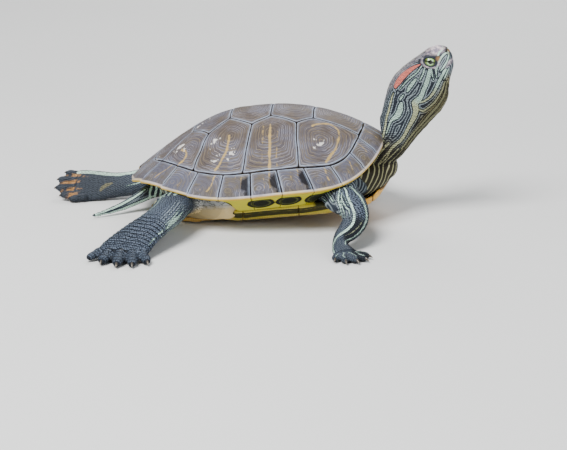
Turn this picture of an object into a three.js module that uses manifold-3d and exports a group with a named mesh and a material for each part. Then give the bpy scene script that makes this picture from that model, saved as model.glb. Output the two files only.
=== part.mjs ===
// Red-eared slider turtle, adult, basking: belly down, head raised, one hind leg stretched back.
// Millimetres, +X towards the head, +Y to the animal's left, +Z up, floor at z = 0.
// The origin is on the floor at the middle of the flat that the rear of the belly rests on.
import * as THREE from 'three';
import { mergeVertices } from 'three/addons/utils/BufferGeometryUtils.js';
import Module from 'manifold-3d';

const wasm = await Module();
wasm.setup();

// ---- driving dimensions -------------------------------------------------------------------
const SHELL_HALF_LENGTH = 100;      // carapace, straight, half of its length
const SHELL_HALF_WIDTH = 72.4;      // at the widest marginals
const SHELL_TOP = 80;               // apex of the carapace above the plane of the plastron
const BODY_PITCH = THREE.MathUtils.degToRad(6.3);   // front of the shell propped up
const BELLY_BEND_X = -50;           // rear of this line the plastron lies flat on the floor
const BELLY_BEND_AT = 17.3;         // where that line lands in the model's frame
const PLATE = 2.2;                  // thickness of a carapace scute
const PLASTRON = 3.0;               // thickness of a plastron scute
const GAP = 0.3;                    // clearance between neighbouring pieces
const CORE_INSET = 5.2;             // trunk under the carapace plates
const SHELL_MIDDLE = 66;            // carapace middle in the model's frame
const THROAT_RISE = 9;              // how far the tip of the front lobe curves up
const SERRATION = 0.022;            // how far the rear marginals step out, part of the radius
const PER_MM = 0.014;               // a millimetre as a part of the carapace's radius
const SCUTE_STEP = 16;              // longest side in a scute's outline
const BEVEL = 0.35;                 // how far a scute's edge lies below its face
const CLAW_TIP = 0.8;               // height of a claw's point above the floor
const WEB_HALF = 0.95;              // half of the thickness of a web between toes
const WEB_DROP = 0.9;               // how far a web lies below the middles of its toes

// ---- materials ----------------------------------------------------------------------------
const finish = (color, roughness) => new THREE.MeshStandardMaterial({ color, roughness, metalness: 0 });
const carapaceHorn = finish(0x57524a, 0.5);
const plastronHorn = finish(0xc9a650, 0.5);
const skin = finish(0x4d5a58, 0.6);
const eyeGloss = finish(0x6f8a3c, 0.12);

// ---- small vector helpers -----------------------------------------------------------------
const V = (x, y, z) => new THREE.Vector3(x, y, z);
const mix = (a, b, t) => a + (b - a) * t;
const smooth = (a, b, t) => THREE.MathUtils.smoothstep(t, a, b);

// ---- carapace surface in the shell's own frame (z above the plastron plane) ------------------
// phi runs from 0 at the head end to PI at the tail; rho from 0 at the apex to 1 at the rim.
const harmonic = (terms, wave, phi) => terms.reduce((sum, term, k) => sum + term * wave(k * phi), 0);
const RIM_X = [-0.028, 1.0, 0.028, 0.0065].map((t) => t * SHELL_HALF_LENGTH);
const RIM_Y = [0, 1.07, 0.033, 0.053, 0.026].map((t) => t * SHELL_HALF_WIDTH);
const RIM_Z = [33.5, -0.2, 6.5, 4.4, 0.6, 2.7];

function rim(phi) {
  return V(harmonic(RIM_X, Math.cos, phi), -harmonic(RIM_Y, Math.sin, phi), harmonic(RIM_Z, Math.cos, phi));
}

function carapace(phi, rho) {
  const edge = rim(phi);
  const power = 2.15 + 0.08 * Math.cos(phi) + 0.1 * Math.cos(2 * phi);
  const shoulder = 0.33 - 0.36 * Math.cos(phi);
  const fall = Math.min(rho, 1) ** power + shoulder * rho * rho * (1 - rho);
  return V(rho * edge.x, rho * edge.y, mix(SHELL_TOP, edge.z, fall));
}

// The same surface from a point in plan.
function overPlan(x, y) {
  const target = Math.atan2(Math.abs(y), x);
  let low = 0;
  let high = Math.PI;
  for (let k = 0; k < 26; k += 1) {
    const mid = (low + high) / 2;
    const edge = rim(mid);
    if (Math.atan2(-edge.y, edge.x) < target) low = mid;
    else high = mid;
  }
  const edge = rim(low);
  const found = carapace(low, Math.hypot(x, y) / Math.hypot(edge.x, edge.y));
  return V(x, y, found.z);
}

function carapaceNormal(x, y) {
  const h = 0.5;
  const slopeX = (overPlan(x + h, y).z - overPlan(x - h, y).z) / (2 * h);
  const slopeY = (overPlan(x, y + h).z - overPlan(x, y - h).z) / (2 * h);
  return V(-slopeX, -slopeY, 1).normalize();
}

// Shell frame to the model's frame: tip the head end up about the bend of the belly.
function toWorld(p) {
  const along = p.x - BELLY_BEND_X;
  return V(
    BELLY_BEND_AT + along * Math.cos(BODY_PITCH) - p.z * Math.sin(BODY_PITCH),
    p.y,
    along * Math.sin(BODY_PITCH) + p.z * Math.cos(BODY_PITCH),
  );
}

// ---- solids from rings ----------------------------------------------------------------------
class Surface {
  constructor() {
    this.points = [];
    this.faces = [];
  }

  ring(points) {
    const first = this.points.length;
    this.points.push(...points);
    return points.map((_, k) => first + k);
  }

  // Quads between two rings of one length, each split in two.
  band(lower, upper) {
    lower.forEach((_, k) => {
      const next = (k + 1) % lower.length;
      this.faces.push([lower[k], lower[next], upper[next]], [lower[k], upper[next], upper[k]]);
    });
  }

  fan(ring, tip, flip) {
    const [centre] = this.ring([tip]);
    ring.forEach((_, k) => {
      const next = (k + 1) % ring.length;
      this.faces.push(flip ? [ring[next], ring[k], centre] : [ring[k], ring[next], centre]);
    });
  }

  geometry() {
    const geometry = new THREE.BufferGeometry();
    const coordinates = this.points.flatMap((p) => [p.x, p.y, p.z]);
    geometry.setAttribute('position', new THREE.Float32BufferAttribute(coordinates, 3));
    geometry.setIndex(this.faces.flat());
    return geometry;
  }
}

function volume(geometry) {
  const p = geometry.attributes.position;
  const at = (k) => V(p.getX(k), p.getY(k), p.getZ(k));
  let total = 0;
  for (let k = 0; k < geometry.index.count; k += 3) {
    const [a, b, c] = [0, 1, 2].map((j) => at(geometry.index.getX(k + j)));
    total += a.dot(b.cross(c)) / 6;
  }
  return total;
}

function facingOut(geometry) {
  if (volume(geometry) > 0) return geometry;
  const index = geometry.index.array;
  for (let k = 0; k < index.length; k += 3) [index[k], index[k + 1]] = [index[k + 1], index[k]];
  return geometry;
}

function solid(geometry) {
  const merged = mergeVertices(facingOut(geometry), 1e-4);
  return new wasm.Manifold(new wasm.Mesh({
    numProp: 3,
    vertProperties: new Float32Array(merged.attributes.position.array),
    triVerts: new Uint32Array(merged.index.array),
  }));
}

function fromSolid(manifold) {
  const mesh = manifold.getMesh();
  const geometry = new THREE.BufferGeometry();
  geometry.setAttribute('position', new THREE.Float32BufferAttribute(Array.from(mesh.vertProperties), 3));
  geometry.setIndex(Array.from(mesh.triVerts));
  return geometry;
}

// A tube through stations {at, wide, thick}: `wide` is one half axis as a vector, `thick` the length
// of the other, `lean` shifts the widest line along `wide`. `grow` thickens the whole tube.
function tube(stations, sides, grow = 0) {
  const surface = new Surface();
  const rings = stations.map((station, k) => {
    const before = stations[Math.max(k - 1, 0)].at;
    const after = stations[Math.min(k + 1, stations.length - 1)].at;
    const ahead = after.clone().sub(before).normalize();
    const wide = station.wide.clone().setLength(station.wide.length() + grow);
    const thick = ahead.clone().cross(wide).setLength(station.thick + grow);
    const lean = station.lean ?? 0;
    const points = Array.from({ length: sides }, (_, j) => {
      const angle = (2 * Math.PI * (j + 0.5)) / sides;
      const c = Math.cos(angle);
      const s = Math.sin(angle) * (1 + lean * c);
      return station.at.clone().addScaledVector(wide, c).addScaledVector(thick, s);
    });
    return surface.ring(points);
  });
  for (let k = 1; k < rings.length; k += 1) surface.band(rings[k - 1], rings[k]);
  const last = stations.length - 1;
  const tipOf = (k, beyond) => {
    const push = stations[k].at.clone().sub(stations[beyond].at).setLength((stations[k].cap ?? 1) + grow);
    return stations[k].at.clone().add(push);
  };
  surface.fan(rings[0], tipOf(0, 1), true);
  surface.fan(rings[last], tipOf(last, last - 1), false);
  return solid(surface.geometry());
}

const station = (at, wide, thick, extra = {}) => ({ at: V(...at), wide: V(...wide), thick, ...extra });

// ---- scutes of the carapace -------------------------------------------------------------------
const degrees = THREE.MathUtils.degToRad;
const MARGINAL_SEAMS = [2.5, 17, 29, 44, 58.5, 73, 87, 102, 117.5, 132.5, 150.4, 166, 179.8].map(degrees);

// Where the marginals' inner edge lies, as a part of the way from apex to rim.
function marginalLine(phi) {
  return 0.812 + 0.0165 * (1 + Math.cos(phi)) + 0.042 * Math.exp(-(((phi - 0.66) / 0.3) ** 2));
}

function onMarginalLine(angle) {
  const p = carapace(degrees(angle), marginalLine(degrees(angle)));
  return [p.x, p.y];
}

const arc = (...angles) => angles.map(onMarginalLine);

// Corners of the seam network on the right side, in plan.
const V1_V2 = [48, -18];
const P1_P2 = [35.4, -25.5];
const V2_V3 = [15.5, -18.5];
const P2_P3 = [0.9, -26.2];
const V3_V4 = [-17, -15.5];
const P3_P4 = [-33.5, -27.5];
const V4_V5 = [-48, -10.5];
const PLEURALS = [
  [V1_V2, ...arc(14, 22, 31, 41, 51, 61), P1_P2],
  [P1_P2, ...arc(61, 71, 81, 91), P2_P3, V2_V3],
  [P2_P3, ...arc(91, 101, 111, 121), P3_P4, V3_V4],
  [P3_P4, ...arc(121, 131, 141, 151), V4_V5],
];
const mirrored = (outline) => outline.map(([x, y]) => [x, -y]).reverse();
const VERTEBRALS = [
  [...arc(6, 14), V1_V2],
  [V1_V2, P1_P2, V2_V3],
  [V2_V3, P2_P3, V3_V4],
  [V3_V4, P3_P4, V4_V5],
  [V4_V5, ...arc(151, 162, 174)],
].map((half) => [...half, ...mirrored(half)]);

// Move every side of a closed outline inwards by `by`.
function inset(outline, by) {
  const n = outline.length;
  const area = outline.reduce((sum, [x, y], k) => {
    const [u, v] = outline[(k + 1) % n];
    return sum + x * v - u * y;
  }, 0);
  const side = Math.sign(area);
  const normals = outline.map(([x, y], k) => {
    const [u, v] = outline[(k + 1) % n];
    const length = Math.hypot(u - x, v - y);
    return [(-(v - y) / length) * side, ((u - x) / length) * side];
  });
  return outline.map(([x, y], k) => {
    const [a, b] = normals[(k + n - 1) % n];
    const [c, d] = normals[k];
    const scale = by / (1 + a * c + b * d);
    return [x + (a + c) * scale, y + (b + d) * scale];
  });
}

// Split the sides of an outline that are longer than `step`.
function divided(outline, step) {
  return outline.flatMap(([x, y], k) => {
    const [u, v] = outline[(k + 1) % outline.length];
    const parts = Math.max(1, Math.round(Math.hypot(u - x, v - y) / step));
    return Array.from({ length: parts }, (_, j) => [mix(x, u, j / parts), mix(y, v, j / parts)]);
  });
}

function scute(outline) {
  const edge = divided(inset(outline, GAP / 2), SCUTE_STEP);
  const centre = edge.reduce(([a, b], [x, y]) => [a + x / edge.length, b + y / edge.length], [0, 0]);
  const towards = (t) => edge.map(([x, y]) => [mix(x, centre[0], t), mix(y, centre[1], t)]);
  const lift = (points, depth) => points.map(([x, y]) => {
    const normal = carapaceNormal(x, y);
    return toWorld(overPlan(x, y).addScaledVector(normal, -depth));
  });
  const surface = new Surface();
  const levels = [[0.45, PLATE], [0, PLATE], [0, BEVEL], [0.08, 0], [0.5, 0]];
  const rings = levels.map(([t, depth]) => surface.ring(lift(towards(t), depth)));
  for (let k = 1; k < rings.length; k += 1) surface.band(rings[k - 1], rings[k]);
  surface.fan(rings[0], lift([centre], PLATE)[0], true);
  surface.fan(rings[rings.length - 1], lift([centre], 0)[0], false);
  return facingOut(surface.geometry());
}

// 1 along the bridge, where the marginals turn down to the plastron, 0 at the leg pockets.
const BRIDGE_REAR = -20;
const BRIDGE_FRONT = 48;

function bridge(x) {
  const behind = smooth(BRIDGE_REAR - 9, BRIDGE_REAR + 5, x);
  const before = 1 - smooth(BRIDGE_FRONT - 6, BRIDGE_FRONT + 10, x);
  return behind * before;
}

// Section through the marginals at phi; `step` is how far the rim juts there, `grow` thickens it.
function marginalSection(phi, step, grow = 0) {
  const inner = marginalLine(phi) + 0.0025 - grow * PER_MM;
  const edge = rim(phi);
  const down = bridge(edge.x);
  const top = (rho) => carapace(phi, rho);
  const under = (rho, drop) => V(edge.x * rho, edge.y * rho, edge.z - drop);
  const raised = (p) => p.setZ(p.z + grow);
  return [
    raised(top(inner)),
    raised(top(mix(inner, 1, 0.5))),
    raised(top(0.97)),
    under(1 + step, -0.2 - grow),
    under(1.006 + step + grow * PER_MM, 1.4),
    under(0.985 + step, 3.2 + grow),
    under(0.925, mix(4.4, 7.4, down) + grow),
    under(mix(0.86, 0.8, down) - grow * PER_MM, mix(4.6, 15.5, down) + grow),
    top(inner).sub(V(0, 0, PLATE + 1.2)),
  ].map(toWorld);
}

// Rear marginals are saw-edged: each juts out towards its rear corner.
const serration = (phi, along) => SERRATION * smooth(1.6, 2.5, phi) * (along ** 1.5 - 0.35);

function loftSections(sections) {
  const surface = new Surface();
  const rings = sections.map((section) => surface.ring(section));
  for (let k = 1; k < rings.length; k += 1) surface.band(rings[k - 1], rings[k]);
  const flatten = (section) => section.map((p) => (
    new THREE.Vector2(Math.hypot(p.x - SHELL_MIDDLE, p.y), p.z)));
  [[0, true], [rings.length - 1, false]].forEach(([k, flip]) => {
    const outline = flatten(sections[k]);
    const backwards = THREE.ShapeUtils.area(outline) < 0;
    THREE.ShapeUtils.triangulateShape(outline, []).forEach((corners) => {
      const turn = THREE.ShapeUtils.area(corners.map((c) => outline[c])) < 0;
      const face = corners.map((c) => rings[k][c]);
      surface.faces.push((turn !== backwards) !== flip ? face.reverse() : face);
    });
  });
  return facingOut(surface.geometry());
}

function marginal(k) {
  const clear = (GAP / 2 + 0.02) / 68;
  const from = MARGINAL_SEAMS[k] + clear;
  const to = MARGINAL_SEAMS[k + 1] - clear;
  return loftSections([0, 0.5, 1].map((t) => {
    const phi = mix(from, to, t);
    return marginalSection(phi, serration(phi, t));
  }));
}

function cervical() {
  const half = MARGINAL_SEAMS[0] - (GAP / 2 + 0.02) / 90;
  return loftSections([-half, 0, half].map((phi) => marginalSection(phi, 0)));
}

const acrossMidline = (geometry) => {
  const copy = geometry.clone();
  copy.scale(1, -1, 1);
  return facingOut(copy);
};

// ---- plastron -------------------------------------------------------------------------------
const PLASTRON_TIP = 101;
const PLASTRON_TAIL = -90;
// Seams across the plastron, from the throat back, at the midline.
const PLASTRON_SEAMS = [PLASTRON_TIP, 83, 62, 30, -15, -50, PLASTRON_TAIL];
const SEAM_SWEEP = [-6, 6, 8, 3, 5, -13, 7];

// Half width of the plate's flat, and the height it curls to, at x.
function plastronHalfWidth(x) {
  const front = 42 * Math.sqrt(Math.max(0, 1 - (Math.max(0, x - 52) / 52) ** 2.3));
  const rear = 42 * (1 - 0.6 * (Math.max(0, -x - 42) / 48) ** 2.1);
  return Math.min(front, rear);
}

// Lower face of the plastron: across runs 0 at the midline to 1 at the edge or the marginals.
function plastronPoint(x, across, lift = 0) {
  const edge = plastronHalfWidth(x);
  const bend = Math.max(0, BELLY_BEND_X - x) * Math.tan(BODY_PITCH);
  const throat = THROAT_RISE * smooth(82, 104, x);
  const up = bridge(x);
  const flat = 1 - 0.42 * up;
  const inFlat = Math.min(across / flat, 1);
  const beyond = Math.max(0, across - flat) / Math.max(1e-6, 1 - flat);
  const curl = 1.8 * (1 - up) * smooth(0.75, 1, inFlat) * (x < -46 ? 0.7 : 1);
  const y = mix(edge * inFlat, 56.4, beyond * up);
  const rise = up * (10.6 * beyond ** 0.95);
  return V(x, -y, bend + throat + curl + rise + lift);
}

function plastronScute(k) {
  const seamAt = (j, across) => PLASTRON_SEAMS[j] + SEAM_SWEEP[j] * across ** 1.5;
  const stops = k === 2 || k === 3 ? [0.2, 0.52, 0.6, 0.78, 1] : [0.25, 0.55, 0.8, 1];
  const lateral = [GAP / 2 / 40, ...stops];
  const rows = 3;
  const sheet = (lift) => Array.from({ length: rows + 1 }, (_, r) => lateral.map((across) => {
    const x = mix(seamAt(k, across) - GAP / 2, seamAt(k + 1, across) + GAP / 2, r / rows);
    const margin = Math.min(across, 0.994);
    const p = plastronPoint(x, margin, 0);
    const inward = bridge(x) * smooth(0.55, 0.8, across) * 0.85;
    return toWorld(V(p.x, p.y + lift * inward, p.z + lift * (1 - 0.3 * inward)));
  }));
  const surface = new Surface();
  const lower = sheet(0).map((row) => surface.ring(row));
  const upper = sheet(PLASTRON).map((row) => surface.ring(row));
  const quad = (a, b, c, d) => surface.faces.push([a, b, c], [a, c, d]);
  const last = lateral.length - 1;
  for (let r = 0; r < rows; r += 1) {
    for (let j = 0; j < last; j += 1) {
      quad(lower[r][j], lower[r + 1][j], lower[r + 1][j + 1], lower[r][j + 1]);
      quad(upper[r][j], upper[r][j + 1], upper[r + 1][j + 1], upper[r + 1][j]);
    }
    quad(lower[r][0], upper[r][0], upper[r + 1][0], lower[r + 1][0]);
    quad(lower[r][last], lower[r + 1][last], upper[r + 1][last], upper[r][last]);
  }
  for (let j = 0; j < last; j += 1) {
    quad(lower[0][j], lower[0][j + 1], upper[0][j + 1], upper[0][j]);
    quad(lower[rows][j], upper[rows][j], upper[rows][j + 1], lower[rows][j + 1]);
  }
  return facingOut(surface.geometry());
}

// ---- trunk inside the shell --------------------------------------------------------------------
function trunk(grow) {
  const sides = 36;
  const phis = Array.from({ length: sides }, (_, k) => (2 * Math.PI * (k + 0.5)) / sides);
  const inset = CORE_INSET - grow;
  const top = (phi, rho) => {
    const p = carapace(Math.abs(phi > Math.PI ? phi - 2 * Math.PI : phi), rho);
    if (phi > Math.PI) p.y = -p.y;
    return p.sub(V(0, 0, inset));
  };
  const floorLevel = PLASTRON + 3 * GAP - grow;
  const side = (phi, rho, height) => {
    const p = top(phi, rho + grow * PER_MM);
    const up = bridge(p.x);
    const bend = Math.max(0, BELLY_BEND_X - p.x) * Math.tan(BODY_PITCH)
      + THROAT_RISE * smooth(82, 104, p.x);
    return V(p.x, p.y, height(rim(Math.min(phi, 2 * Math.PI - phi)).z, up) + bend);
  };
  const surface = new Surface();
  const rings = [
    phis.map((phi) => top(phi, 0.4)),
    phis.map((phi) => top(phi, 0.68)),
    phis.map((phi) => top(phi, 0.785 + grow * PER_MM)),
    phis.map((phi) => side(phi, 0.775, (z) => z - 7 - grow)),
    phis.map((phi) => side(phi, 0.66, (z, up) => mix(15, 15.5, up) - grow)),
    phis.map((phi) => side(phi, 0.52, () => floorLevel)),
  ].map((ring) => surface.ring(ring.map(toWorld)));
  for (let k = 1; k < rings.length; k += 1) surface.band(rings[k - 1], rings[k]);
  surface.fan(rings[0], toWorld(V(0, 0, SHELL_TOP - inset)), true);
  surface.fan(rings[rings.length - 1], toWorld(V(0, 0, floorLevel)), false);
  return solid(surface.geometry());
}

// The shell's own space, slightly enlarged, that skin keeps clear of.
function marginalBand() {
  const stops = [...MARGINAL_SEAMS.slice(0, -1), Math.PI].flatMap((phi, k, all) => (
    k + 1 < all.length ? [phi, mix(phi, all[k + 1], 0.5)] : [phi]));
  const right = [0, ...stops];
  const half = right.map((phi) => marginalSection(phi, SERRATION * smooth(1.6, 2.5, phi) * 0.65, GAP));
  const left = half.slice(1, -1).reverse().map((section) => section.map((p) => V(p.x, -p.y, p.z)));
  const surface = new Surface();
  const rings = [...half, ...left].map((section) => surface.ring(section));
  rings.forEach((ring, k) => surface.band(ring, rings[(k + 1) % rings.length]));
  return solid(surface.geometry());
}

function plastronSlab() {
  const rows = 22;
  const stops = [0, 0.2, 0.4, 0.58, 0.7, 0.85, 1];
  const [front, rear] = [PLASTRON_TIP + 2 * GAP, PLASTRON_TAIL - 2 * GAP];
  const xs = Array.from({ length: rows + 1 }, (_, k) => mix(front, rear, k / rows));
  const section = (x) => {
    const line = (lift) => stops.map((across) => {
      const p = plastronPoint(x, across, 0);
      const inward = bridge(x) * smooth(0.55, 0.8, across) * 0.85;
      const wider = across === 1 ? -0.5 : 0;
      return V(p.x, p.y + lift * inward + wider, p.z + lift * (1 - 0.3 * inward));
    });
    const lower = line(-GAP);
    const upper = line(PLASTRON + GAP + 0.15);
    const flip = (points) => points.slice(1).map((p) => V(p.x, -p.y, p.z));
    return [...lower, ...[...upper].reverse(), ...flip(upper), ...flip(lower).reverse()].map(toWorld);
  };
  const surface = new Surface();
  const rings = xs.map((x) => surface.ring(section(x)));
  for (let k = 1; k < rings.length; k += 1) surface.band(rings[k - 1], rings[k]);
  const middle = (x) => toWorld(V(x, 0, plastronPoint(x, 0).z + PLASTRON / 2));
  surface.fan(rings[0], middle(xs[0]), true);
  surface.fan(rings[rows], middle(xs[rows]), false);
  return solid(surface.geometry());
}

// ---- head and neck -----------------------------------------------------------------------------
// Each row: upper outline point (x, z), lower outline point (x, z), half width, how far the widest
// line lies above the middle.
const HEAD_ROWS = [
  [211.9, 131.6, 213.6, 127.4, 2.9, 0],
  [210.0, 134.4, 214.7, 122.9, 4.8, 0],
  [206.4, 136.8, 214.3, 118.2, 7.2, 0.06],
  [200.8, 137.0, 212.4, 111.4, 10.2, 0.12],
  [194.2, 133.8, 211.3, 103.6, 12.4, 0.16],
  [187.6, 128.8, 210.6, 95.0, 14.2, 0.2],
  [180.6, 123.6, 206.4, 86.2, 15.6, 0.18],
  [174.4, 118.4, 200.6, 79.4, 15.9, 0.12],
];
const NECK_ROWS = [
  [174.4, 118.4, 200.6, 79.4, 15.9, 0.12],
  [168.6, 112.4, 194.2, 72.0, 15.6, 0.06],
  [164.2, 104.0, 187.0, 63.6, 15.4, 0],
  [161.4, 93.0, 180.0, 54.0, 15.8, 0],
  [158.4, 80.0, 172.0, 45.0, 16.8, 0],
  [152.0, 68.0, 160.0, 36.0, 19.0, 0],
  [140.0, 61.0, 142.0, 31.0, 22.0, 0],
  [120.0, 56.0, 120.0, 28.0, 22.0, 0],
];

function profiled(rows, sides, grow, caps) {
  const stations = rows.map(([ux, uz, lx, lz, half, lean]) => ({
    at: V((ux + lx) / 2, 0, (uz + lz) / 2),
    wide: V((ux - lx) / 2, 0, (uz - lz) / 2),
    thick: half,
    lean,
  }));
  stations[0].cap = caps[0];
  stations[stations.length - 1].cap = caps[1];
  return tube(stations, sides, grow);
}

const EYE_AT = [196.3, 7.4, 125.3];
const EYE_RADIUS = 5.4;

function eyeball(side, grow) {
  const geometry = new THREE.SphereGeometry(EYE_RADIUS + grow, 14, 10);
  geometry.deleteAttribute('normal');
  geometry.deleteAttribute('uv');
  geometry.translate(EYE_AT[0], side * EYE_AT[1], EYE_AT[2]);
  return solid(mergeVertices(geometry, 1e-4));
}

// The cut between head and neck: everything behind a plane through their shared row.
function behindHead(shift) {
  const [ux, uz, lx, lz] = NECK_ROWS[0];
  const box = new THREE.BoxGeometry(120, 120, 160);
  const along = Math.atan2(uz - lz, ux - lx) - Math.PI / 2;
  box.deleteAttribute('normal');
  box.deleteAttribute('uv');
  box.translate(-60 - shift, 0, 0);
  box.rotateY(-along);
  box.translate((ux + lx) / 2, 0, (uz + lz) / 2);
  return solid(mergeVertices(box, 1e-4));
}

// ---- legs and tail -----------------------------------------------------------------------------
// A toe from the foot to its claw: a plump tube, rounded at its end, then the claw down to the floor.
// The outermost hind toe has no claw.
function toe(root, tip, radius, claw) {
  const [a, b] = [V(...root), V(...tip)];
  const ahead = b.clone().sub(a).normalize();
  const across = V(-ahead.y, ahead.x, 0).normalize();
  const section = (at, size) => ({ at, wide: across.clone().multiplyScalar(size), thick: size * 0.86 });
  const flesh = [
    section(a, radius * 0.94),
    section(a.clone().lerp(b, 0.7), radius),
    section(b, radius * 0.7),
  ];
  if (claw === 0) return tube(flesh, 6);
  const reach = b.clone().addScaledVector(ahead, claw);
  reach.z = Math.max(CLAW_TIP, reach.z - claw * 0.3);
  const nail = section(b.clone().lerp(reach, 0.16), radius * 0.36);
  return tube([...flesh, nail, { ...section(reach, 0.35), cap: 0.2 }], 6);
}

// The web between two toes, as far along them as `reach`.
function web(first, second, reach) {
  const span = (share) => {
    const [a, b] = [first, second].map(([root, tip]) => V(...root).lerp(V(...tip), share));
    return { at: a.clone().lerp(b, 0.5).sub(V(0, 0, WEB_DROP)), wide: b.clone().sub(a).divideScalar(2),
      thick: WEB_HALF };
  };
  return tube([span(-0.4), span(0), span(reach)], 6);
}

const underFloor = () => {
  const box = new THREE.BoxGeometry(600, 600, 60);
  box.deleteAttribute('normal');
  box.deleteAttribute('uv');
  box.translate(0, 0, -30);
  return solid(mergeVertices(box, 1e-4));
};

// A leg's path runs from inside the trunk to the sole. Each toe is its root, its tip, its radius and
// the length of its claw. The legs stand differently, so each has its own measures.
const FORE_RIGHT = {
  path: [
    station([112, -34, 30], [13, 0, 4], 11),
    station([127, -46, 28], [12.5, 5, 3], 10.5),
    station([137, -60, 26], [11.5, 5, 1], 10),
    station([143, -74, 22.5], [10.2, 3, 2], 9.6),
    station([144.2, -86, 18.5], [9.2, -2, 3], 9),
    station([141, -97, 14.8], [7.6, -5, 2], 7.6),
    station([136.2, -106, 11.6], [5.9, -4, 1], 6.2),
    station([134.6, -114, 9], [5.7, -1, 0], 5.4),
    station([136.4, -121.5, 6.4], [7.2, 2, 0], 4.6),
    station([140, -127, 4.6], [8.4, 3.5, 0], 4),
  ],
  toes: [
    [[133.5, -125, 3.6], [132.6, -136, 3], 3.0, 3],
    [[137.8, -128, 3.8], [140.5, -139.8, 3], 3.3, 3.4],
    [[142, -128, 3.8], [148.5, -138.4, 3], 3.4, 3.4],
    [[145.6, -125.5, 3.6], [154.5, -133, 3], 3.3, 3.4],
    [[147, -121.5, 3.4], [156.5, -125.5, 2.9], 3.0, 3],
  ],
};
const FORE_LEFT = {
  path: [
    station([112, 34, 30], [13, 0, 4], 11),
    station([126, 45, 28], [12, -5, 3], 10.5),
    station([135, 58, 25.5], [11, -6, 1], 10),
    station([140, 72, 21.5], [10, -3, 2], 9.6),
    station([139.5, 84, 17.5], [9, 2, 3], 9),
    station([134.5, 94, 14], [7.6, 5, 2], 7.6),
    station([129, 102, 11], [6.3, 4, 1], 6.4),
    station([127, 110, 8.6], [6.2, 1, 0], 5.6),
    station([128.5, 117.5, 6.2], [7.6, -2, 0], 4.8),
    station([131.5, 123, 4.6], [8.6, -3.5, 0], 4),
  ],
  toes: [
    [[125, 121, 3.6], [124.5, 132, 3], 3.2, 3],
    [[129, 124, 3.8], [132, 135.5, 3], 3.5, 3.4],
    [[133, 124, 3.8], [139.5, 134, 3], 3.6, 3.4],
    [[136.5, 121.5, 3.6], [145, 129, 3], 3.5, 3.4],
    [[138, 117.5, 3.4], [147, 121.5, 2.9], 3.2, 3],
  ],
};
const HIND_RIGHT = {
  path: [
    station([26, -28, 22], [15, 0, 0], 11),
    station([14, -46, 21.5], [16, 0, 3], 10.5),
    station([4, -62, 21], [15.5, -1, 3], 10.5),
    station([2, -76, 20.5], [14, -2, 3], 11),
    station([-1, -89, 19], [12.5, -6, 3], 10.4),
    station([-7, -101, 16.5], [13.5, -8, 2.5], 9),
    station([-14, -113, 13.2], [15.5, -8, 1.5], 7.6),
    station([-20, -125, 9.8], [17.5, -6.5, 0.5], 6.2),
    station([-24.5, -136, 6.6], [18.8, -5, 0], 5),
    station([-26.5, -143, 4.8], [19, -4, 0], 4.2),
  ],
  toes: [
    [[-42, -137, 5.6], [-49.5, -150, 3.2], 3.2, 0],
    [[-35, -141, 6.4], [-38.5, -158, 3.2], 3.8, 3],
    [[-26.5, -143, 6.8], [-26.5, -163, 3.3], 4, 3.4],
    [[-18, -143, 6.6], [-15.3, -162, 3.3], 3.9, 3.4],
    [[-10.5, -141, 6.2], [-5, -155.5, 3.1], 3.5, 3.2],
  ],
};
const HIND_LEFT = {
  path: [
    station([24, 26, 22], [0, 4, 14], 13),
    station([6, 32, 21], [0, 3, 13.6], 12.5),
    station([-12, 34, 18.4], [0, 3, 12], 11),
    station([-28, 33.5, 15], [0, 4, 10.4], 9),
    station([-42, 32, 12.2], [0, 6, 8.4], 7.4),
    station([-55, 30, 10.6], [0, 8.4, 7.6], 5.8),
    station([-67, 28.5, 10.2], [0, 10.8, 8.6], 4.8),
    station([-79, 27, 10.4], [0, 12.4, 9.4], 4),
    station([-87, 26, 10.4], [0, 12.6, 9.2], 3.4),
  ],
  toes: [
    [[-78, 15.5, 4], [-90, 11.5, 3.4], 3.2, 0],
    [[-83, 20, 5.6], [-98, 16.5, 4.8], 3.4, 2],
    [[-86, 25.6, 9.4], [-103, 23.6, 9], 3.5, 2.2],
    [[-86, 31.5, 13.4], [-102, 31, 14], 3.4, 2.2],
    [[-83, 36.4, 16.8], [-97, 37.4, 18.2], 3.0, 2],
  ],
};
const TAIL = [
  station([-6, 0, 20], [0, 9, 0], 9),
  station([-20, -3, 17], [0, 6.8, 0], 6.4),
  station([-32, -9, 11.2], [0.8, 4.8, 0], 4.6),
  station([-42, -16, 7], [1.4, 3.6, 0], 3.4),
  station([-51, -23, 4.6], [1.4, 2.7, 0], 2.6),
  station([-58, -28, 3.3], [1.2, 1.9, 0], 1.9),
  station([-64.5, -32, 2.4], [0.6, 1.1, 0], 1.1, { cap: 1.2 }),
];

function leg({ path, toes }, webReach) {
  const webs = toes.slice(1).map((measures, k) => web(toes[k], measures, webReach));
  const parts = [...toes.map((measures) => toe(...measures)), ...webs];
  return parts.reduce((whole, part) => whole.add(part), tube(path, 12));
}

// Loose skin from shoulder to shoulder, over the front of the plastron and round the hips.
function looseSkin(grow) {
  const paths = [
    [station([106, -36, 38], [14, 0, 4], 12), station([112, 0, 40], [16, 0, 4], 15),
      station([106, 36, 38], [14, 0, 4], 12)],
    [station([8, -34, 22], [13, 0, 2], 10), station([2, 0, 20], [13, 0, 3], 12),
      station([8, 34, 22], [13, 0, 2], 10)],
    [station([100, 0, 26], [0, 40, 0], 15), station([125, 0, 29], [0, 38, 0], 15),
      station([145, 0, 32.5], [0, 33, 0], 14.5), station([157, 0, 36], [0, 26, 0], 12),
      station([164.5, 0, 39], [0, 15, 0], 8)],
  ];
  return paths.map((path) => tube(path, 10, grow)).reduce((whole, part) => whole.add(part));
}

// ---- assembly ------------------------------------------------------------------------------------
const turtle = new THREE.Group();

function piece(name, geometry, material) {
  const mesh = new THREE.Mesh(geometry, material);
  mesh.name = name;
  turtle.add(mesh);
}

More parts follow.
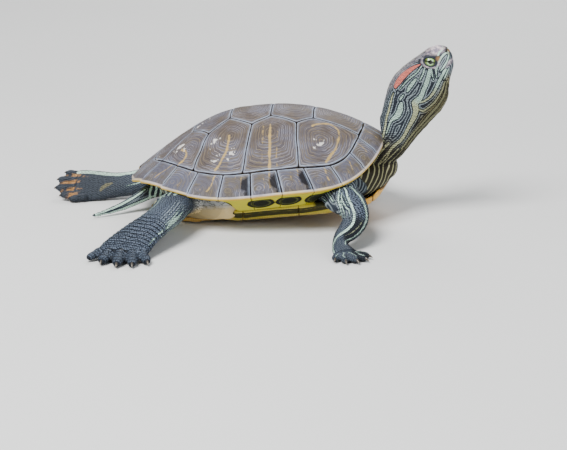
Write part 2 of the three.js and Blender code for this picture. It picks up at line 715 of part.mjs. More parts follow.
function shellPlates() {
  VERTEBRALS.forEach((outline, k) => piece(`vertebral_${k + 1}`, scute(outline), carapaceHorn));
  PLEURALS.forEach((outline, k) => {
    const right = scute(outline);
    piece(`pleural_${k + 1}_right`, right, carapaceHorn);
    piece(`pleural_${k + 1}_left`, acrossMidline(right), carapaceHorn);
  });
  for (let k = 0; k < MARGINAL_SEAMS.length - 1; k += 1) {
    const right = marginal(k);
    piece(`marginal_${k + 1}_right`, right, carapaceHorn);
    piece(`marginal_${k + 1}_left`, acrossMidline(right), carapaceHorn);
  }
  piece('cervical', cervical(), carapaceHorn);
  ['gular', 'humeral', 'pectoral', 'abdominal', 'femoral', 'anal'].forEach((name, k) => {
    const right = plastronScute(k);
    const level = fromSolid(solid(right).subtract(underFloor()));
    piece(`${name}_right`, level, plastronHorn);
    piece(`${name}_left`, acrossMidline(level), plastronHorn);
  });
}

function flesh() {
  const keepOut = marginalBand().add(plastronSlab()).add(underFloor());
  const core = trunk(0).add(looseSkin(0)).subtract(keepOut);
  const corePlus = trunk(2 * GAP).add(looseSkin(2 * GAP));
  const eyes = eyeball(1, GAP).add(eyeball(-1, GAP));
  const neck = profiled(NECK_ROWS, 16, 0, [0, 1]);
  const neckPlus = profiled(NECK_ROWS, 16, GAP, [0, 1]);
  const head = profiled(HEAD_ROWS, 16, 0, [0.8, 0.5]);
  piece('trunk', fromSolid(core.subtract(neckPlus)), skin);
  piece('neck', fromSolid(neck.subtract(keepOut)), skin);
  piece('head', fromSolid(head.subtract(behindHead(-GAP)).subtract(eyes)), skin);
  piece('eye_right', fromSolid(eyeball(-1, 0)), eyeGloss);
  piece('eye_left', fromSolid(eyeball(1, 0)), eyeGloss);
  const limbs = {
    leg_fore_right: leg(FORE_RIGHT, 0.35),
    leg_fore_left: leg(FORE_LEFT, 0.35),
    leg_hind_right: leg(HIND_RIGHT, 0.6),
    leg_hind_left: leg(HIND_LEFT, 0.8),
    tail: tube(TAIL, 10),
  };
  const blocked = keepOut.add(corePlus).add(neckPlus);
  Object.entries(limbs).forEach(([name, limb]) => piece(name, fromSolid(limb.subtract(blocked)), skin));
}

shellPlates();
flesh();

export default turtle;
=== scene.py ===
import math

import bmesh
import bpy
import numpy as np
from mathutils import Matrix, Vector
from mathutils.bvhtree import BVHTree


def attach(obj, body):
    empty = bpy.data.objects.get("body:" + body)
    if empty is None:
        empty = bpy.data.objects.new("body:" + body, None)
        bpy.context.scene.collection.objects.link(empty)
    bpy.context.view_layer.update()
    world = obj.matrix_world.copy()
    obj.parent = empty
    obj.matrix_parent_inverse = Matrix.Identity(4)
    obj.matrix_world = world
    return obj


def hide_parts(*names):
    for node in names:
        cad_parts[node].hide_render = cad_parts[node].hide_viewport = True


# A red-eared slider, adult, basking: belly down, head raised, one hind leg stretched back.
# Shapes are worked out in millimetres in the model's frame and become metres as meshes are made.
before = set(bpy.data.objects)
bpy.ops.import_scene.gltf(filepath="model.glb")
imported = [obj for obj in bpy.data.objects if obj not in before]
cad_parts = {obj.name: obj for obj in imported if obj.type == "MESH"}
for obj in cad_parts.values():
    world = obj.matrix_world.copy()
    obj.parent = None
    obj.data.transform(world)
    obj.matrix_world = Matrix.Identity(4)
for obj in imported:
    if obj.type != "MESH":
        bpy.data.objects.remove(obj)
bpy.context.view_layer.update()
MM = 0.001
SEED = 20

# ---- camera ----
CAMERA_AZIMUTH = 5          # degrees round from the animal's right side towards its head
CAMERA_HEIGHT = 16          # degrees above the floor
CAMERA_DISTANCE = 2.0       # metres
CAMERA_AIM = Vector((83.5, -14.7, -6.7)) * MM
PIXELS_PER_MM = 1.27
FRAME_WIDTH = 567           # pixels
SENSOR = 36                 # mm


def set_camera():
    azimuth = math.radians(CAMERA_AZIMUTH)
    height = math.radians(CAMERA_HEIGHT)
    level = math.cos(height)
    back = Vector((math.sin(azimuth) * level, -math.cos(azimuth) * level, math.sin(height)))
    right = Vector((math.cos(azimuth), math.sin(azimuth), 0))
    up = back.cross(right)
    camera = bpy.data.objects.new("camera", bpy.data.cameras.new("camera"))
    camera.data.sensor_width = SENSOR
    camera.data.lens = PIXELS_PER_MM * CAMERA_DISTANCE / MM / FRAME_WIDTH * SENSOR
    turn = Matrix((right, up, back)).transposed().to_4x4()
    camera.matrix_world = Matrix.Translation(CAMERA_AIM + back * CAMERA_DISTANCE) @ turn
    bpy.context.scene.collection.objects.link(camera)
    bpy.context.scene.camera = camera


set_camera()


# ---- how materials are written ----


class Value:
    """A number, colour or vector inside a material; numbers take arithmetic."""

    def __init__(self, recipe, socket):
        self.recipe = recipe
        self.socket = socket

    def math(self, operation, *others, clamp=False):
        settings = {"operation": operation, "use_clamp": clamp}
        return self.recipe.node("Math", settings, dict(enumerate((self, *others))))

    def __add__(self, other):
        return self.math("ADD", other)

    def __sub__(self, other):
        return self.math("SUBTRACT", other)

    def __rsub__(self, other):
        return self.recipe.node("Math", {"operation": "SUBTRACT"}, {0: other, 1: self})

    def __mul__(self, other):
        return self.math("MULTIPLY", other)

    __radd__ = __add__
    __rmul__ = __mul__

    def clamped(self):
        return self.math("ADD", 0.0, clamp=True)

    def above(self, edge, soft):
        """1 where the value is over `edge`, fading to 0 over `soft` each side."""
        return ((self - edge) * (0.5 / soft) + 0.5).clamped()

    def near(self, middle, reach, soft):
        """1 within `reach` of `middle`, fading to 0 over `soft` each side."""
        return 1 - (self - middle).math("ABSOLUTE").above(reach, soft)

    def wave(self, period):
        """0 to 1 and back over each `period`."""
        return (self * (2 * math.pi / period)).math("SINE") * 0.5 + 0.5


MIX_SHARE, MIX_FIRST, MIX_SECOND, MIX_COLOR = 0, 6, 7, 2       # a Mix node's sockets for colours


class Recipe:
    """One material, built node by node."""

    def __init__(self, name):
        self.material = bpy.data.materials.new(name)
        self.material.use_nodes = True
        self.tree = self.material.node_tree
        self.tree.nodes.clear()
        self.place = self.node("TexCoord", output="Object")

    def node(self, kind, settings=None, inputs=None, output=0):
        made = self.tree.nodes.new("ShaderNode" + kind)
        for key, value in (settings or {}).items():
            setattr(made, key, value)
        for key, value in (inputs or {}).items():
            if isinstance(value, Value):
                self.tree.links.new(value.socket, made.inputs[key])
            elif isinstance(value, tuple) and len(value) == 3 and made.inputs[key].type == "RGBA":
                made.inputs[key].default_value = (*value, 1)
            else:
                made.inputs[key].default_value = value
        return Value(self, made.outputs[output]) if made.outputs else None

    def field(self, name):
        """A number that the mesh holds at each of its points."""
        return self.node("Attribute", {"attribute_name": name}, output="Fac")

    def noise(self, per_mm, detail=3, stretch=(1, 1, 1)):
        place = self.place
        if stretch != (1, 1, 1):
            place = self.node("Mapping", {}, {"Vector": place, "Scale": stretch})
        inputs = {"Vector": place, "Scale": per_mm / MM, "Detail": detail}
        return self.node("TexNoise", {}, inputs, output="Fac")

    def pebbles(self, per_mm):
        """Distance from the middles of scattered pebbles."""
        inputs = {"Vector": self.place, "Scale": per_mm / MM}
        return self.node("TexVoronoi", {"feature": "F1"}, inputs, output="Distance")

    def blend(self, first, second, share):
        """The first colour with a share of the second over it."""
        inputs = {MIX_SHARE: share, MIX_FIRST: first, MIX_SECOND: second}
        return self.node("Mix", {"data_type": "RGBA"}, inputs, output=MIX_COLOR)

    def surface(self, color, roughness, height=None, lift=0.1, specular=0.5, coat=0.0, coat_roughness=0.1):
        """The finish itself; `height` is a relief of `lift` mm."""
        inputs = {"Base Color": color, "Roughness": roughness, "Specular IOR Level": specular,
                  "Coat Weight": coat, "Coat Roughness": coat_roughness}
        if height is not None:
            relief = {"Height": height, "Distance": lift * MM, "Strength": 1.0}
            inputs["Normal"] = self.node("Bump", {}, relief, output="Normal")
        shader = self.node("BsdfPrincipled", {}, inputs)
        self.node("OutputMaterial", {}, {"Surface": shader})
        return self.material


# ---- meshes ----


def mesh_piece(name, points, faces, fields=None, slot=None, replaces=(), material=None):
    """A smooth-shaded object, riding on the body if it has a slot; points in mm, faces as arrays of
    corners.
    """
    mesh = bpy.data.meshes.new(name)
    faces = [np.asarray(group) for group in faces]
    mesh.vertices.add(len(points))
    mesh.vertices.foreach_set("co", (np.asarray(points) * MM).astype(np.float32).ravel())
    corners = np.concatenate([group.ravel() for group in faces])
    sizes = np.concatenate([np.full(len(group), group.shape[1]) for group in faces])
    mesh.loops.add(len(corners))
    mesh.loops.foreach_set("vertex_index", corners.astype(np.int32))
    mesh.polygons.add(len(sizes))
    mesh.polygons.foreach_set("loop_start", np.concatenate([[0], np.cumsum(sizes)[:-1]]).astype(np.int32))
    mesh.update(calc_edges=True)
    mesh.validate()
    mesh.shade_smooth()
    add_fields(mesh, fields or {})
    piece = bpy.data.objects.new(name, mesh)
    bpy.context.scene.collection.objects.link(piece)
    if material:
        mesh.materials.append(material)
    if slot:
        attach(piece, "root")
    if replaces:
        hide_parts(*replaces)
    return piece


def add_fields(mesh, fields):
    for key, values in fields.items():
        attribute = mesh.attributes.new(key, "FLOAT", "POINT")
        attribute.data.foreach_set("value", np.asarray(values, np.float32).ravel())


def grid_faces(rows, columns, wrap=False):
    """Quads of a grid of points stored row by row; `wrap` joins each row's end to its start."""
    across = columns if wrap else columns - 1
    i, j = np.meshgrid(np.arange(rows - 1), np.arange(across), indexing="ij")
    near = i * columns + j
    beside = i * columns + (j + 1) % columns
    return np.stack([near, beside, beside + columns, near + columns], -1).reshape(-1, 4)


def fan_faces(ring, centre, flip=False):
    ring = np.asarray(ring)
    around = np.roll(ring, -1)
    middle = np.full(len(ring), centre)
    corners = [around, ring, middle] if flip else [ring, around, middle]
    return np.stack(corners, -1)


def facing_out(points, faces):
    """The faces, turned over if the closed mesh they make is inside out."""
    volume = 0.0
    for group in faces:
        for k in range(1, group.shape[1] - 1):
            a, b, c = (points[group[:, j]] for j in (0, k, k + 1))
            volume += np.einsum("ij,ij->i", a, np.cross(b, c)).sum()
    return faces if volume > 0 else [group[:, ::-1] for group in faces]


def closed_tube(rings, first, last):
    """Points and faces of a tube through rings of as many points each, shut by a point at either end."""
    count, sides = len(rings), len(rings[0])
    points = np.concatenate([*rings, [first], [last]])
    tris = np.concatenate([fan_faces(np.arange(sides), count * sides, flip=True),
                           fan_faces((count - 1) * sides + np.arange(sides), count * sides + 1)])
    return points, facing_out(points, [grid_faces(count, sides, wrap=True), tris])


def mix(a, b, t):
    return a + (b - a) * t


def smooth(a, b, t):
    t = np.clip((np.asarray(t, float) - a) / (b - a), 0, 1)
    return t * t * (3 - 2 * t)


def waves(x, y, z=0.0, size=10.0, seed=0):
    """Gentle noise from -1 to 1 over places in mm, the same on every run."""
    rng = np.random.default_rng(SEED + seed)
    total = 0.0
    for _ in range(6):
        direction = rng.normal(size=3)
        direction /= np.linalg.norm(direction)
        phase = (x * direction[0] + y * direction[1] + z * direction[2]) * 2 * math.pi / size
        total = total + np.sin(phase * rng.uniform(0.7, 1.5) + rng.uniform(0, 6.28))
    return total / 3.2


def distance_to(points, line):
    """Distance in mm from each point to an open line, in as many dimensions as both have."""
    points = np.asarray(points, float)
    line = np.asarray(line, float)
    nearest = np.full(points.shape[:-1], 1e9)
    for a, b in zip(line[:-1], line[1:]):
        along = b - a
        t = np.clip(((points - a) @ along) / max(along @ along, 1e-12), 0, 1)
        nearest = np.minimum(nearest, np.linalg.norm(points - a - t[..., None] * along, axis=-1))
    return nearest


# ---- the shell's own measures ----
SHELL_HALF_LENGTH = 100
SHELL_HALF_WIDTH = 72.4
SHELL_TOP = 80
BODY_PITCH = math.radians(6.3)
BELLY_BEND_X = -50          # where the belly bends, in the shell's frame and then in the model's
BELLY_BEND_AT = 17.3
PLATE = 2.2                 # thickness of a scute
PLASTRON = 3.0              # thickness of a belly plate
SEAM = 0.15                 # half of the gap between plates
SERRATION = 0.022           # how far the rear marginals' points stand out, as a share of the way to the rim
THROAT_RISE = 9             # how far the tip of the front lobe curves up
GROWN = 0.6                 # how far plates' points are spread evenly, not crowded at the seams
UP = np.array([0, 0, 1.0])
SIDES = ((1, "right"), (-1, "left"))
OFF = -9.0                  # what a mark's field holds well clear of the mark
# Terms of the waves that make up the rim, going round it.
RIM_X = np.array([-0.028, 1.0, 0.028, 0.0065]) * SHELL_HALF_LENGTH
RIM_Y = np.array([0, 1.07, 0.033, 0.053, 0.026]) * SHELL_HALF_WIDTH
RIM_Z = np.array([33.5, -0.2, 6.5, 4.4, 0.6, 2.7])


def harmonic(terms, wave, phi):
    return sum(term * wave(k * phi) for k, term in enumerate(terms))


def rim(phi):
    """The shell's edge: phi is 0 at the head end and pi at the tail, on the right side."""
    phi = np.asarray(phi, float)
    return np.stack([harmonic(RIM_X, np.cos, phi), -harmonic(RIM_Y, np.sin, phi),
                     harmonic(RIM_Z, np.cos, phi)], -1)


def carapace(phi, rho):
    """A place on the carapace, rho of the way from its top out to the rim."""
    phi, rho = np.broadcast_arrays(np.asarray(phi, float), np.asarray(rho, float))
    edge = rim(phi)
    power = 2.15 + 0.08 * np.cos(phi) + 0.1 * np.cos(2 * phi)
    shoulder = 0.33 - 0.36 * np.cos(phi)
    fall = np.minimum(rho, 1) ** power + shoulder * rho * rho * (1 - rho)
    return np.stack([rho * edge[..., 0], rho * edge[..., 1], mix(SHELL_TOP, edge[..., 2], fall)], -1)


def facing(x, y):
    """The rim angle that a place in plan faces, and its share of the way out to the rim."""
    target = np.arctan2(np.abs(y), x)
    low = np.zeros_like(target)
    high = np.full_like(target, math.pi)
    for _ in range(24):
        middle = (low + high) / 2
        edge = rim(middle)
        before = np.arctan2(-edge[..., 1], edge[..., 0]) < target
        low = np.where(before, middle, low)
        high = np.where(before, high, middle)
    edge = rim(low)
    return low, np.hypot(x, y) / np.hypot(edge[..., 0], edge[..., 1])


def over_plan(x, y):
    """The carapace's height over a place in plan."""
    return carapace(*facing(x, y))[..., 2]


def carapace_normal(x, y):
    reach = 0.6
    slope_x = (over_plan(x + reach, y) - over_plan(x - reach, y)) / (2 * reach)
    slope_y = (over_plan(x, y + reach) - over_plan(x, y - reach)) / (2 * reach)
    normal = np.stack([-slope_x, -slope_y, np.ones_like(slope_x)], -1)
    return normal / np.linalg.norm(normal, axis=-1, keepdims=True)


def to_world(points):
    """From the shell's frame to the model's: the head end tipped up about the bend of the belly."""
    points = np.asarray(points, float)
    along = points[..., 0] - BELLY_BEND_X
    cos, sin = math.cos(BODY_PITCH), math.sin(BODY_PITCH)
    return np.stack([BELLY_BEND_AT + along * cos - points[..., 2] * sin, points[..., 1],
                     along * sin + points[..., 2] * cos], -1)


def to_shell(points):
    """From the model's frame to the shell's own."""
    along = points[:, 0] - BELLY_BEND_AT
    cos, sin = math.cos(BODY_PITCH), math.sin(BODY_PITCH)
    return np.stack([BELLY_BEND_X + along * cos + points[:, 2] * sin, points[:, 1],
                     points[:, 2] * cos - along * sin], -1)


MARGINAL_SEAMS = np.radians([2.5, 17, 29, 44, 58.5, 73, 87, 102, 117.5, 132.5, 150.4, 166, 179.8])
BRIDGE_REAR = -20
BRIDGE_FRONT = 58
ARC_STEP = 4                # degrees of rim between the points of a scute's curved side


def marginal_line(phi):
    """Where the marginals' inner edge lies, as a part of the way from apex to rim."""
    phi = np.asarray(phi, float)
    return 0.812 + 0.0165 * (1 + np.cos(phi)) + 0.042 * np.exp(-(((phi - 0.66) / 0.3) ** 2))


def bridge(x):
    """1 along the bridge between carapace and plastron, 0 at the leg pockets."""
    behind = smooth(BRIDGE_REAR - 9, BRIDGE_REAR + 5, x)
    before = 1 - smooth(BRIDGE_FRONT - 6, BRIDGE_FRONT + 10, x)
    return behind * before


def belly_rise(x):
    """How far the belly curves up, towards the tail from its bend and again at the throat."""
    return np.maximum(0, BELLY_BEND_X - x) * math.tan(BODY_PITCH) + THROAT_RISE * smooth(82, 104, x)


def arc(first, last):
    """The marginals' inner edge in plan, between two rim angles in degrees."""
    count = max(2, round(abs(last - first) / ARC_STEP) + 1)
    angles = np.radians(np.linspace(first, last, count))
    return [tuple(p[:2]) for p in carapace(angles, marginal_line(angles))]


def spread_along(count):
    """Places from 0 to 1, a little closer together towards both ends."""
    eased = (1 - np.cos(np.linspace(0, math.pi, count))) / 2
    return mix(eased, np.linspace(0, 1, count), GROWN)


# ---- scutes of the carapace ----
# Corners in plan on the right side, where vertebral (V) and pleural (P) scutes meet.
V1_V2 = (48, -18)
P1_P2 = (35.4, -25.5)
V2_V3 = (15.5, -18.5)
P2_P3 = (0.9, -26.2)
V3_V4 = (-17, -15.5)
P3_P4 = (-33.5, -27.5)
V4_V5 = (-48, -10.5)
PLEURALS = [
    [V1_V2, *arc(14, 61), P1_P2],
    [P1_P2, *arc(61, 91), P2_P3, V2_V3],
    [P2_P3, *arc(91, 121), P3_P4, V3_V4],
    [P3_P4, *arc(121, 151), V4_V5],
]
PLEURAL_CENTRES = [(54, -38), (15, -34), (-15, -34), (-49, -37)]      # where growth began
HALF_VERTEBRALS = [
    [*arc(6, 14), V1_V2],
    [V1_V2, P1_P2, V2_V3],
    [V2_V3, P2_P3, V3_V4],
    [V3_V4, P3_P4, V4_V5],
    [V4_V5, *arc(151, 174)],
]
VERTEBRAL_CENTRES = [(64, 0), (31, 0), (-1, 0), (-32, 0), (-62, 0)]
# Yellow bars and bands, in plan, with their half widths.
BARS = [
    ([(15.6, -28.5), (14.9, -39.7), (14.6, -49.7), (14.4, -59)], 1.15),
    ([(47.8, -26.9), (59, -21.5), (67, -24.5), (67.1, -33.8), (64.1, -41.7), (57.5, -50.5)], 0.95),
    ([(-17.1, -34), (-17.9, -43.6), (-22.5, -51.2), (-27.5, -57)], 1.0),
    ([(-55.5, -33.0), (-51.0, -38.0), (-52.3, -43.2), (-60.5, -47.5)], 1.0),
    ([(21, -29.5), (20.6, -40), (20.2, -60)], 0.25),
    ([(9.5, -29), (9.2, -42), (9, -61)], 0.3),
]
SCUFF_AIM = (0.75, 0.66)    # the way that the scuffs run, in plan
SCUFF_SHAPE = (2.3, 1.1)    # how long and how broad they are for their size
# Places in plan of pale scuffs, and their sizes.
SCUFFS = [
    ((-58, -28), 3.2), ((-54, -33), 2.0), ((-28.5, -37), 3.0), ((-28.1, -50), 1.8), ((-14.8, -47.5), 2.6),
    ((52.5, -41), 2.8), ((49, -37), 1.6), ((-44, -3), 3.5), ((-38, 3), 2.2), ((40, -6), 1.4),
    ((-79, -18), 2.4),
]
OUTLINE_STEP = 0.9          # mm between the points of a scute's outline
RING_STEP = 0.75            # mm between its rings of points
INNER_EDGE = 20.0           # the "edge" field, mm in from the rim, on plates that don't reach it


def closed_outline(corners):
    """The outline divided into short sides, its corners eased, its sides a little unsteady."""
    corners = np.asarray(corners, float)
    following = np.roll(corners, -1, axis=0)
    points = []
    for a, b in zip(corners, following):
        parts = max(1, round(float(np.linalg.norm(b - a)) / OUTLINE_STEP))
        points += [mix(a, b, k / parts) for k in range(parts)]
    points = np.array(points)
    sway = np.stack([waves(points[:, 0], points[:, 1], size=17, seed=1),
                     waves(points[:, 0], points[:, 1], size=17, seed=2)], -1)
    mirror_safe = smooth(0.0, 4.0, np.abs(points[:, 1]))[:, None]
    points = points + 0.32 * sway * mirror_safe
    for _ in range(3):
        points = (np.roll(points, 1, axis=0) + 2 * points + np.roll(points, -1, axis=0)) / 4
    return points


def inset(points, by):
    """The outline drawn in on all sides."""
    ahead = np.roll(points, -1, axis=0) - np.roll(points, 1, axis=0)
    x, y = points.T
    turn = np.sign((x * np.roll(y, -1) - np.roll(x, -1) * y).sum())
    normal = np.stack([-ahead[:, 1], ahead[:, 0]], -1) * turn
    return points + by * normal / np.linalg.norm(normal, axis=1, keepdims=True)


def growth_relief(growth, seam, x, y):
    """Relief in mm of a scute: a sunken seam, ridges and fine rings of growth, and a slight swell."""
    groove = -0.45 * np.exp(-seam / 0.65)
    ring = growth + 0.7 * waves(x, y, size=26, seed=4)
    steps = (ring / 2.6) % 1.0
    ridges = 0.09 * np.sin(steps * math.pi) ** 0.6 * smooth(1.5, 7, growth)
    fine = 0.03 * np.sin(ring * 2 * math.pi / 0.9)
    return groove + ridges + fine + 0.08 * waves(x, y, size=9, seed=5)


def near_bars(x, y):
    """How deep inside a yellow bar each place in plan is, in mm."""
    place = np.stack([x, -np.abs(y)], -1)
    nearest = np.full(x.shape, OFF)
    bent = place + 0.5 * np.stack([waves(x, y, size=12, seed=6), 0 * x], -1)
    for line, half in BARS:
        eased = spline(line, np.linspace(0, len(line) - 1, 5 * len(line)))
        nearest = np.maximum(nearest, half - distance_to(bent, eased))
    return nearest


def near_scuffs(x, y):
    """How deep inside a scuff each place in plan is."""
    total = np.full(x.shape, OFF)
    cos, sin = SCUFF_AIM
    for (u, v), size in SCUFFS:
        along = ((x - u) * cos + (y - v) * sin) / SCUFF_SHAPE[0]
        across = ((y - v) * cos - (x - u) * sin) / SCUFF_SHAPE[1]
        total = np.maximum(total, size - np.hypot(along, across))
    return total


def scute(name, outline, centre, material):
    """One plate of the carapace: rings of points out from its centre of growth, and a wall down."""
    edge = inset(closed_outline(outline), SEAM)
    centre = np.array(centre, float)
    radius = np.linalg.norm(edge - centre, axis=1)
    rings = max(16, round(float(radius.mean()) / RING_STEP))
    share = 1 - (1 - np.linspace(0.03, 1, rings)) ** 1.25
    plan = centre + (edge - centre)[None] * share[:, None, None]
    plan = np.concatenate([plan.reshape(-1, 2), centre[None]])
    outer = slice(-len(edge) - 1, -1)
    x, y = plan.T
    seam = distance_to(plan, np.concatenate([edge, edge[:1]]))
    seam[outer] = 0
    growth = np.concatenate([(share[:, None] * mix(radius, radius.mean(), 0.6)[None]).ravel(), [0]])
    normal = carapace_normal(x, y)
    flat = np.stack([x, y, over_plan(x, y)], -1)
    top = to_world(flat + normal * growth_relief(growth, seam, x, y)[:, None])
    below = to_world(flat - normal * PLATE)
    sections = [*top[:-1].reshape(rings, -1, 3), below[outer]]
    points, faces = closed_tube(sections, top[-1], below[-1])

    def spread(values, at_floor):
        return np.concatenate([values[:-1], values[outer], values[-1:], [at_floor]])

    fields = {"growth": spread(growth, 0), "seam": spread(seam, -OFF), "bar": spread(near_bars(x, y), OFF),
              "scuff": spread(near_scuffs(x, y), OFF), "edge": np.full(len(points), INNER_EDGE),
              "under": np.zeros(len(points)), "ringed": np.full(len(points), OFF),
              "blotch": np.full(len(points), OFF)}
    return mesh_piece(name, points, faces, fields, "shell_horn", [name], material)


def mirrored(outline):
    return [(x, -y) for x, y in reversed(outline)]


def make_scutes(material):
    for k, (half, centre) in enumerate(zip(HALF_VERTEBRALS, VERTEBRAL_CENTRES)):
        scute(f"vertebral_{k + 1}", [*half, *mirrored(half)], centre, material)
    for k, (outline, centre) in enumerate(zip(PLEURALS, PLEURAL_CENTRES)):
        scute(f"pleural_{k + 1}_right", outline, centre, material)
        scute(f"pleural_{k + 1}_left", mirrored(outline), (centre[0], -centre[1]), material)


# ---- marginals ----
TOP_POINTS = 16             # points of a section over its top, round its edge and along its lower face
EDGE_POINTS = 7
UNDER_POINTS = 12
UNDER_OUT = 0.985           # where the lower face starts, as a share of the way out to the rim
UNDER_START = 0.12          # how far in along that face its first point lies
CERVICAL = -1               # the cervical's number, where the marginals have 0 to 11
OVAL_SEAMS = (4, 5, 6)      # marginals with a black blotch above, and a big ringed oval before them below
OVAL_AHEAD = 5              # mm from a seam to the middle of the oval before it
OVAL_LONG = 8.6             # half the length of an oval
OVAL_HEIGHT = (1.42, 0.42)  # where its middle lies on a section, and half its height
SPOT_LONG = 6               # half the length of the spots on other seams


def under_reach(down):
    """How far in a marginal's lower face goes, as a share of the way out; `down` is 1 at the bridge."""
    return mix(0.86, 0.8, down)


def under_drop(share, down):
    """How far below the rim that face lies, in mm, a share of the way in."""
    return mix(3.3, mix(4.6, 15.5, down), share ** 0.9)


def marginal_sections(phi, step):
    """Closed sections through the marginals at phi: over the top, round the rim and back below."""
    phi, step = phi[:, None], step[:, None]
    edge = rim(phi)
    down = bridge(edge[..., 0])
    over = mix(marginal_line(phi) + 0.0012, 0.972, np.linspace(0, 1, TOP_POINTS))
    flare = 0.35 * smooth(0.9, 1.0, over) * step / SERRATION
    top = carapace(phi, over) + flare[..., None] * UP

    def along_rim(rho, drop):
        return np.concatenate([edge[..., :2] * rho[..., None], edge[..., 2:] - drop[..., None]], -1)

    turn = np.linspace(-1.0, 1.0, EDGE_POINTS)[None] * math.pi / 2
    round_edge = along_rim(UNDER_OUT + step + 0.021 * np.cos(turn), 1.5 + 1.7 * np.sin(turn))
    share = np.linspace(UNDER_START, 1, UNDER_POINTS)[None]
    under = along_rim(mix(UNDER_OUT + step, under_reach(down), share), under_drop(share, down))
    wall = top[:, :1] - (PLATE + 1.2) * UP
    return to_world(np.concatenate([top, round_edge, under, wall], 1))


def serration(phi, along):
    return SERRATION * smooth(1.6, 2.5, phi) * (along ** 1.5 - 0.35)


def round_section(count, over, edge, under, wall):
    """Values of `count` sections, from those of their top, round edge, lower face and inner wall."""
    parts = zip((over, edge, under, wall), (TOP_POINTS, EDGE_POINTS, UNDER_POINTS, 1))
    return np.concatenate([np.broadcast_to(values, (count, points)) for values, points in parts], 1)


def marginal_marks(a, height, length, phi, k):
    """A yellow bar and a thin one beside it, a black blotch, and ringed ovals on the lower face."""
    slant = 0.27 + 0.10 * height + 0.12 * height * smooth(1.7, 2.4, phi)[:, None]
    slant = slant + 0.02 * np.sin(height * 7 + k)
    bar = (0.55 + 0.25 * np.sin(3 * k)) - np.abs(a - slant) * length
    thin = 0.22 - np.abs(a - slant - 0.22 - 0.03 * np.sin(2.1 * k)) * length
    blotch = 7 * (1 - np.hypot((a - 0.02) * length / 6.5, (height - 0.62) / 0.5))
    front, rear = a * length, (1 - a) * length
    front = (front + OVAL_AHEAD) / OVAL_LONG if k in OVAL_SEAMS else front / SPOT_LONG
    rear = (rear - OVAL_AHEAD) / OVAL_LONG if k + 1 in OVAL_SEAMS else rear / SPOT_LONG
    oval = np.hypot(np.minimum(np.abs(front), np.abs(rear)), (height - OVAL_HEIGHT[0]) / OVAL_HEIGHT[1])
    return {"bar": np.where(height < 0.97, np.maximum(bar, thin), OFF),
            "blotch": blotch if k in OVAL_SEAMS else np.full(a.shape, OFF),
            "ringed": np.where(height > 1.0, 5.5 * (1 - oval), OFF)}


def marginal_fields(phi, along, length, k):
    """What a marginal's points know of their place; arrays of sections by points round a section.
    Height goes from 0 at the inner edge of the top to 1 at the rim and 2 at the inner edge below."""
    count = len(phi)
    radius = np.linalg.norm(rim(phi)[:, :2], axis=-1)[:, None]
    inward = (1 - marginal_line(phi)[:, None]) * radius * 0.97
    over = np.linspace(0, 1, TOP_POINTS)
    below = np.linspace(UNDER_START, 1, UNDER_POINTS)
    round_edge = np.linspace(2.6, -2.6, EDGE_POINTS)
    side = round_section(count, over * inward, inward, 30, 30)
    height = round_section(count, over, 1, 1 + below, 2.2)
    a = np.broadcast_to(along[:, None], side.shape)
    fields = {"growth": np.hypot((a - 0.72) * length * 0.8, (height - 0.86) * inward),
              "seam": np.minimum(np.minimum(a, 1 - a) * length, side),
              "edge": round_section(count, 3.6 + inward * (1 - over), round_edge, -2.9 - 14 * below, -18),
              "under": round_section(count, 0, np.linspace(0, 1, EDGE_POINTS), 1, 1),
              "scuff": np.full(side.shape, OFF)}
    return {**fields, **marginal_marks(a, height, length, phi, k)}, height


def marginal_piece(name, first, last, k, side, material):
    """One marginal, or the cervical, whose rim angles run from below 0 to above it."""
    length = float((last - first) * np.linalg.norm(rim((first + last) / 2)[:2]))
    along = spread_along(max(10, round(length / 0.8)))
    turn = mix(first, last, along)
    phi = np.abs(turn)
    sections = marginal_sections(phi, serration(phi, along))
    sections[..., 1] *= np.where(turn < 0, -1, 1)[:, None]
    fields, height = marginal_fields(phi, along, length, k)
    outward = (rim(phi) * [1, 1, 0] / SHELL_HALF_LENGTH)[:, None] * smooth(0.6, 1.2, height)[..., None]
    normal = outward + UP * mix(1.0, -0.4, smooth(0.9, 1.3, height))[..., None]
    relief = growth_relief(fields["growth"], fields["seam"], sections[..., 0], sections[..., 1])
    relief = relief * (1 - smooth(1.7, 2.0, height))
    sections = (sections + 0.75 * normal * relief[..., None]) * [1, side, 1]
    points, faces = closed_tube(sections, sections[0].mean(0), sections[-1].mean(0))
    fields = {key: np.append(values, values[[0, -1], 0]) for key, values in fields.items()}
    return mesh_piece(name, points, faces, fields, "shell_horn", [name], material)


def make_marginals(material):
    for k, (first, last) in enumerate(zip(MARGINAL_SEAMS[:-1], MARGINAL_SEAMS[1:])):
        clear = SEAM / np.linalg.norm(rim((first + last) / 2)[:2])
        for side, label in SIDES:
            marginal_piece(f"marginal_{k + 1}_{label}", first + clear, last - clear, k, side, material)
    half = MARGINAL_SEAMS[0] - SEAM / SHELL_HALF_LENGTH
    marginal_piece("cervical", -half, half, CERVICAL, 1, material)


# ---- plastron ----
PLASTRON_SEAMS = [101, 83, 62, 30, -15, -50, -90]
SEAM_SWEEP = [-6, 6, 8, 3, 5, -13, 7]       # how far forward each seam has gone at the plates' outer ends
BELLY_PLATES = ["gular", "humeral", "pectoral", "abdominal", "femoral", "anal"]
BELLY_COLUMNS = 64
ACROSS = mix(0.003, 0.994, np.linspace(0, 1, BELLY_COLUMNS))[None]


def plastron_half_width(x):
    front = 42 * np.sqrt(np.maximum(0, 1 - (np.maximum(0, x - 52) / 52) ** 2.3))
    rear = 42 * (1 - 0.6 * (np.maximum(0, -x - 42) / 48) ** 2.1)
    return np.minimum(front, rear)


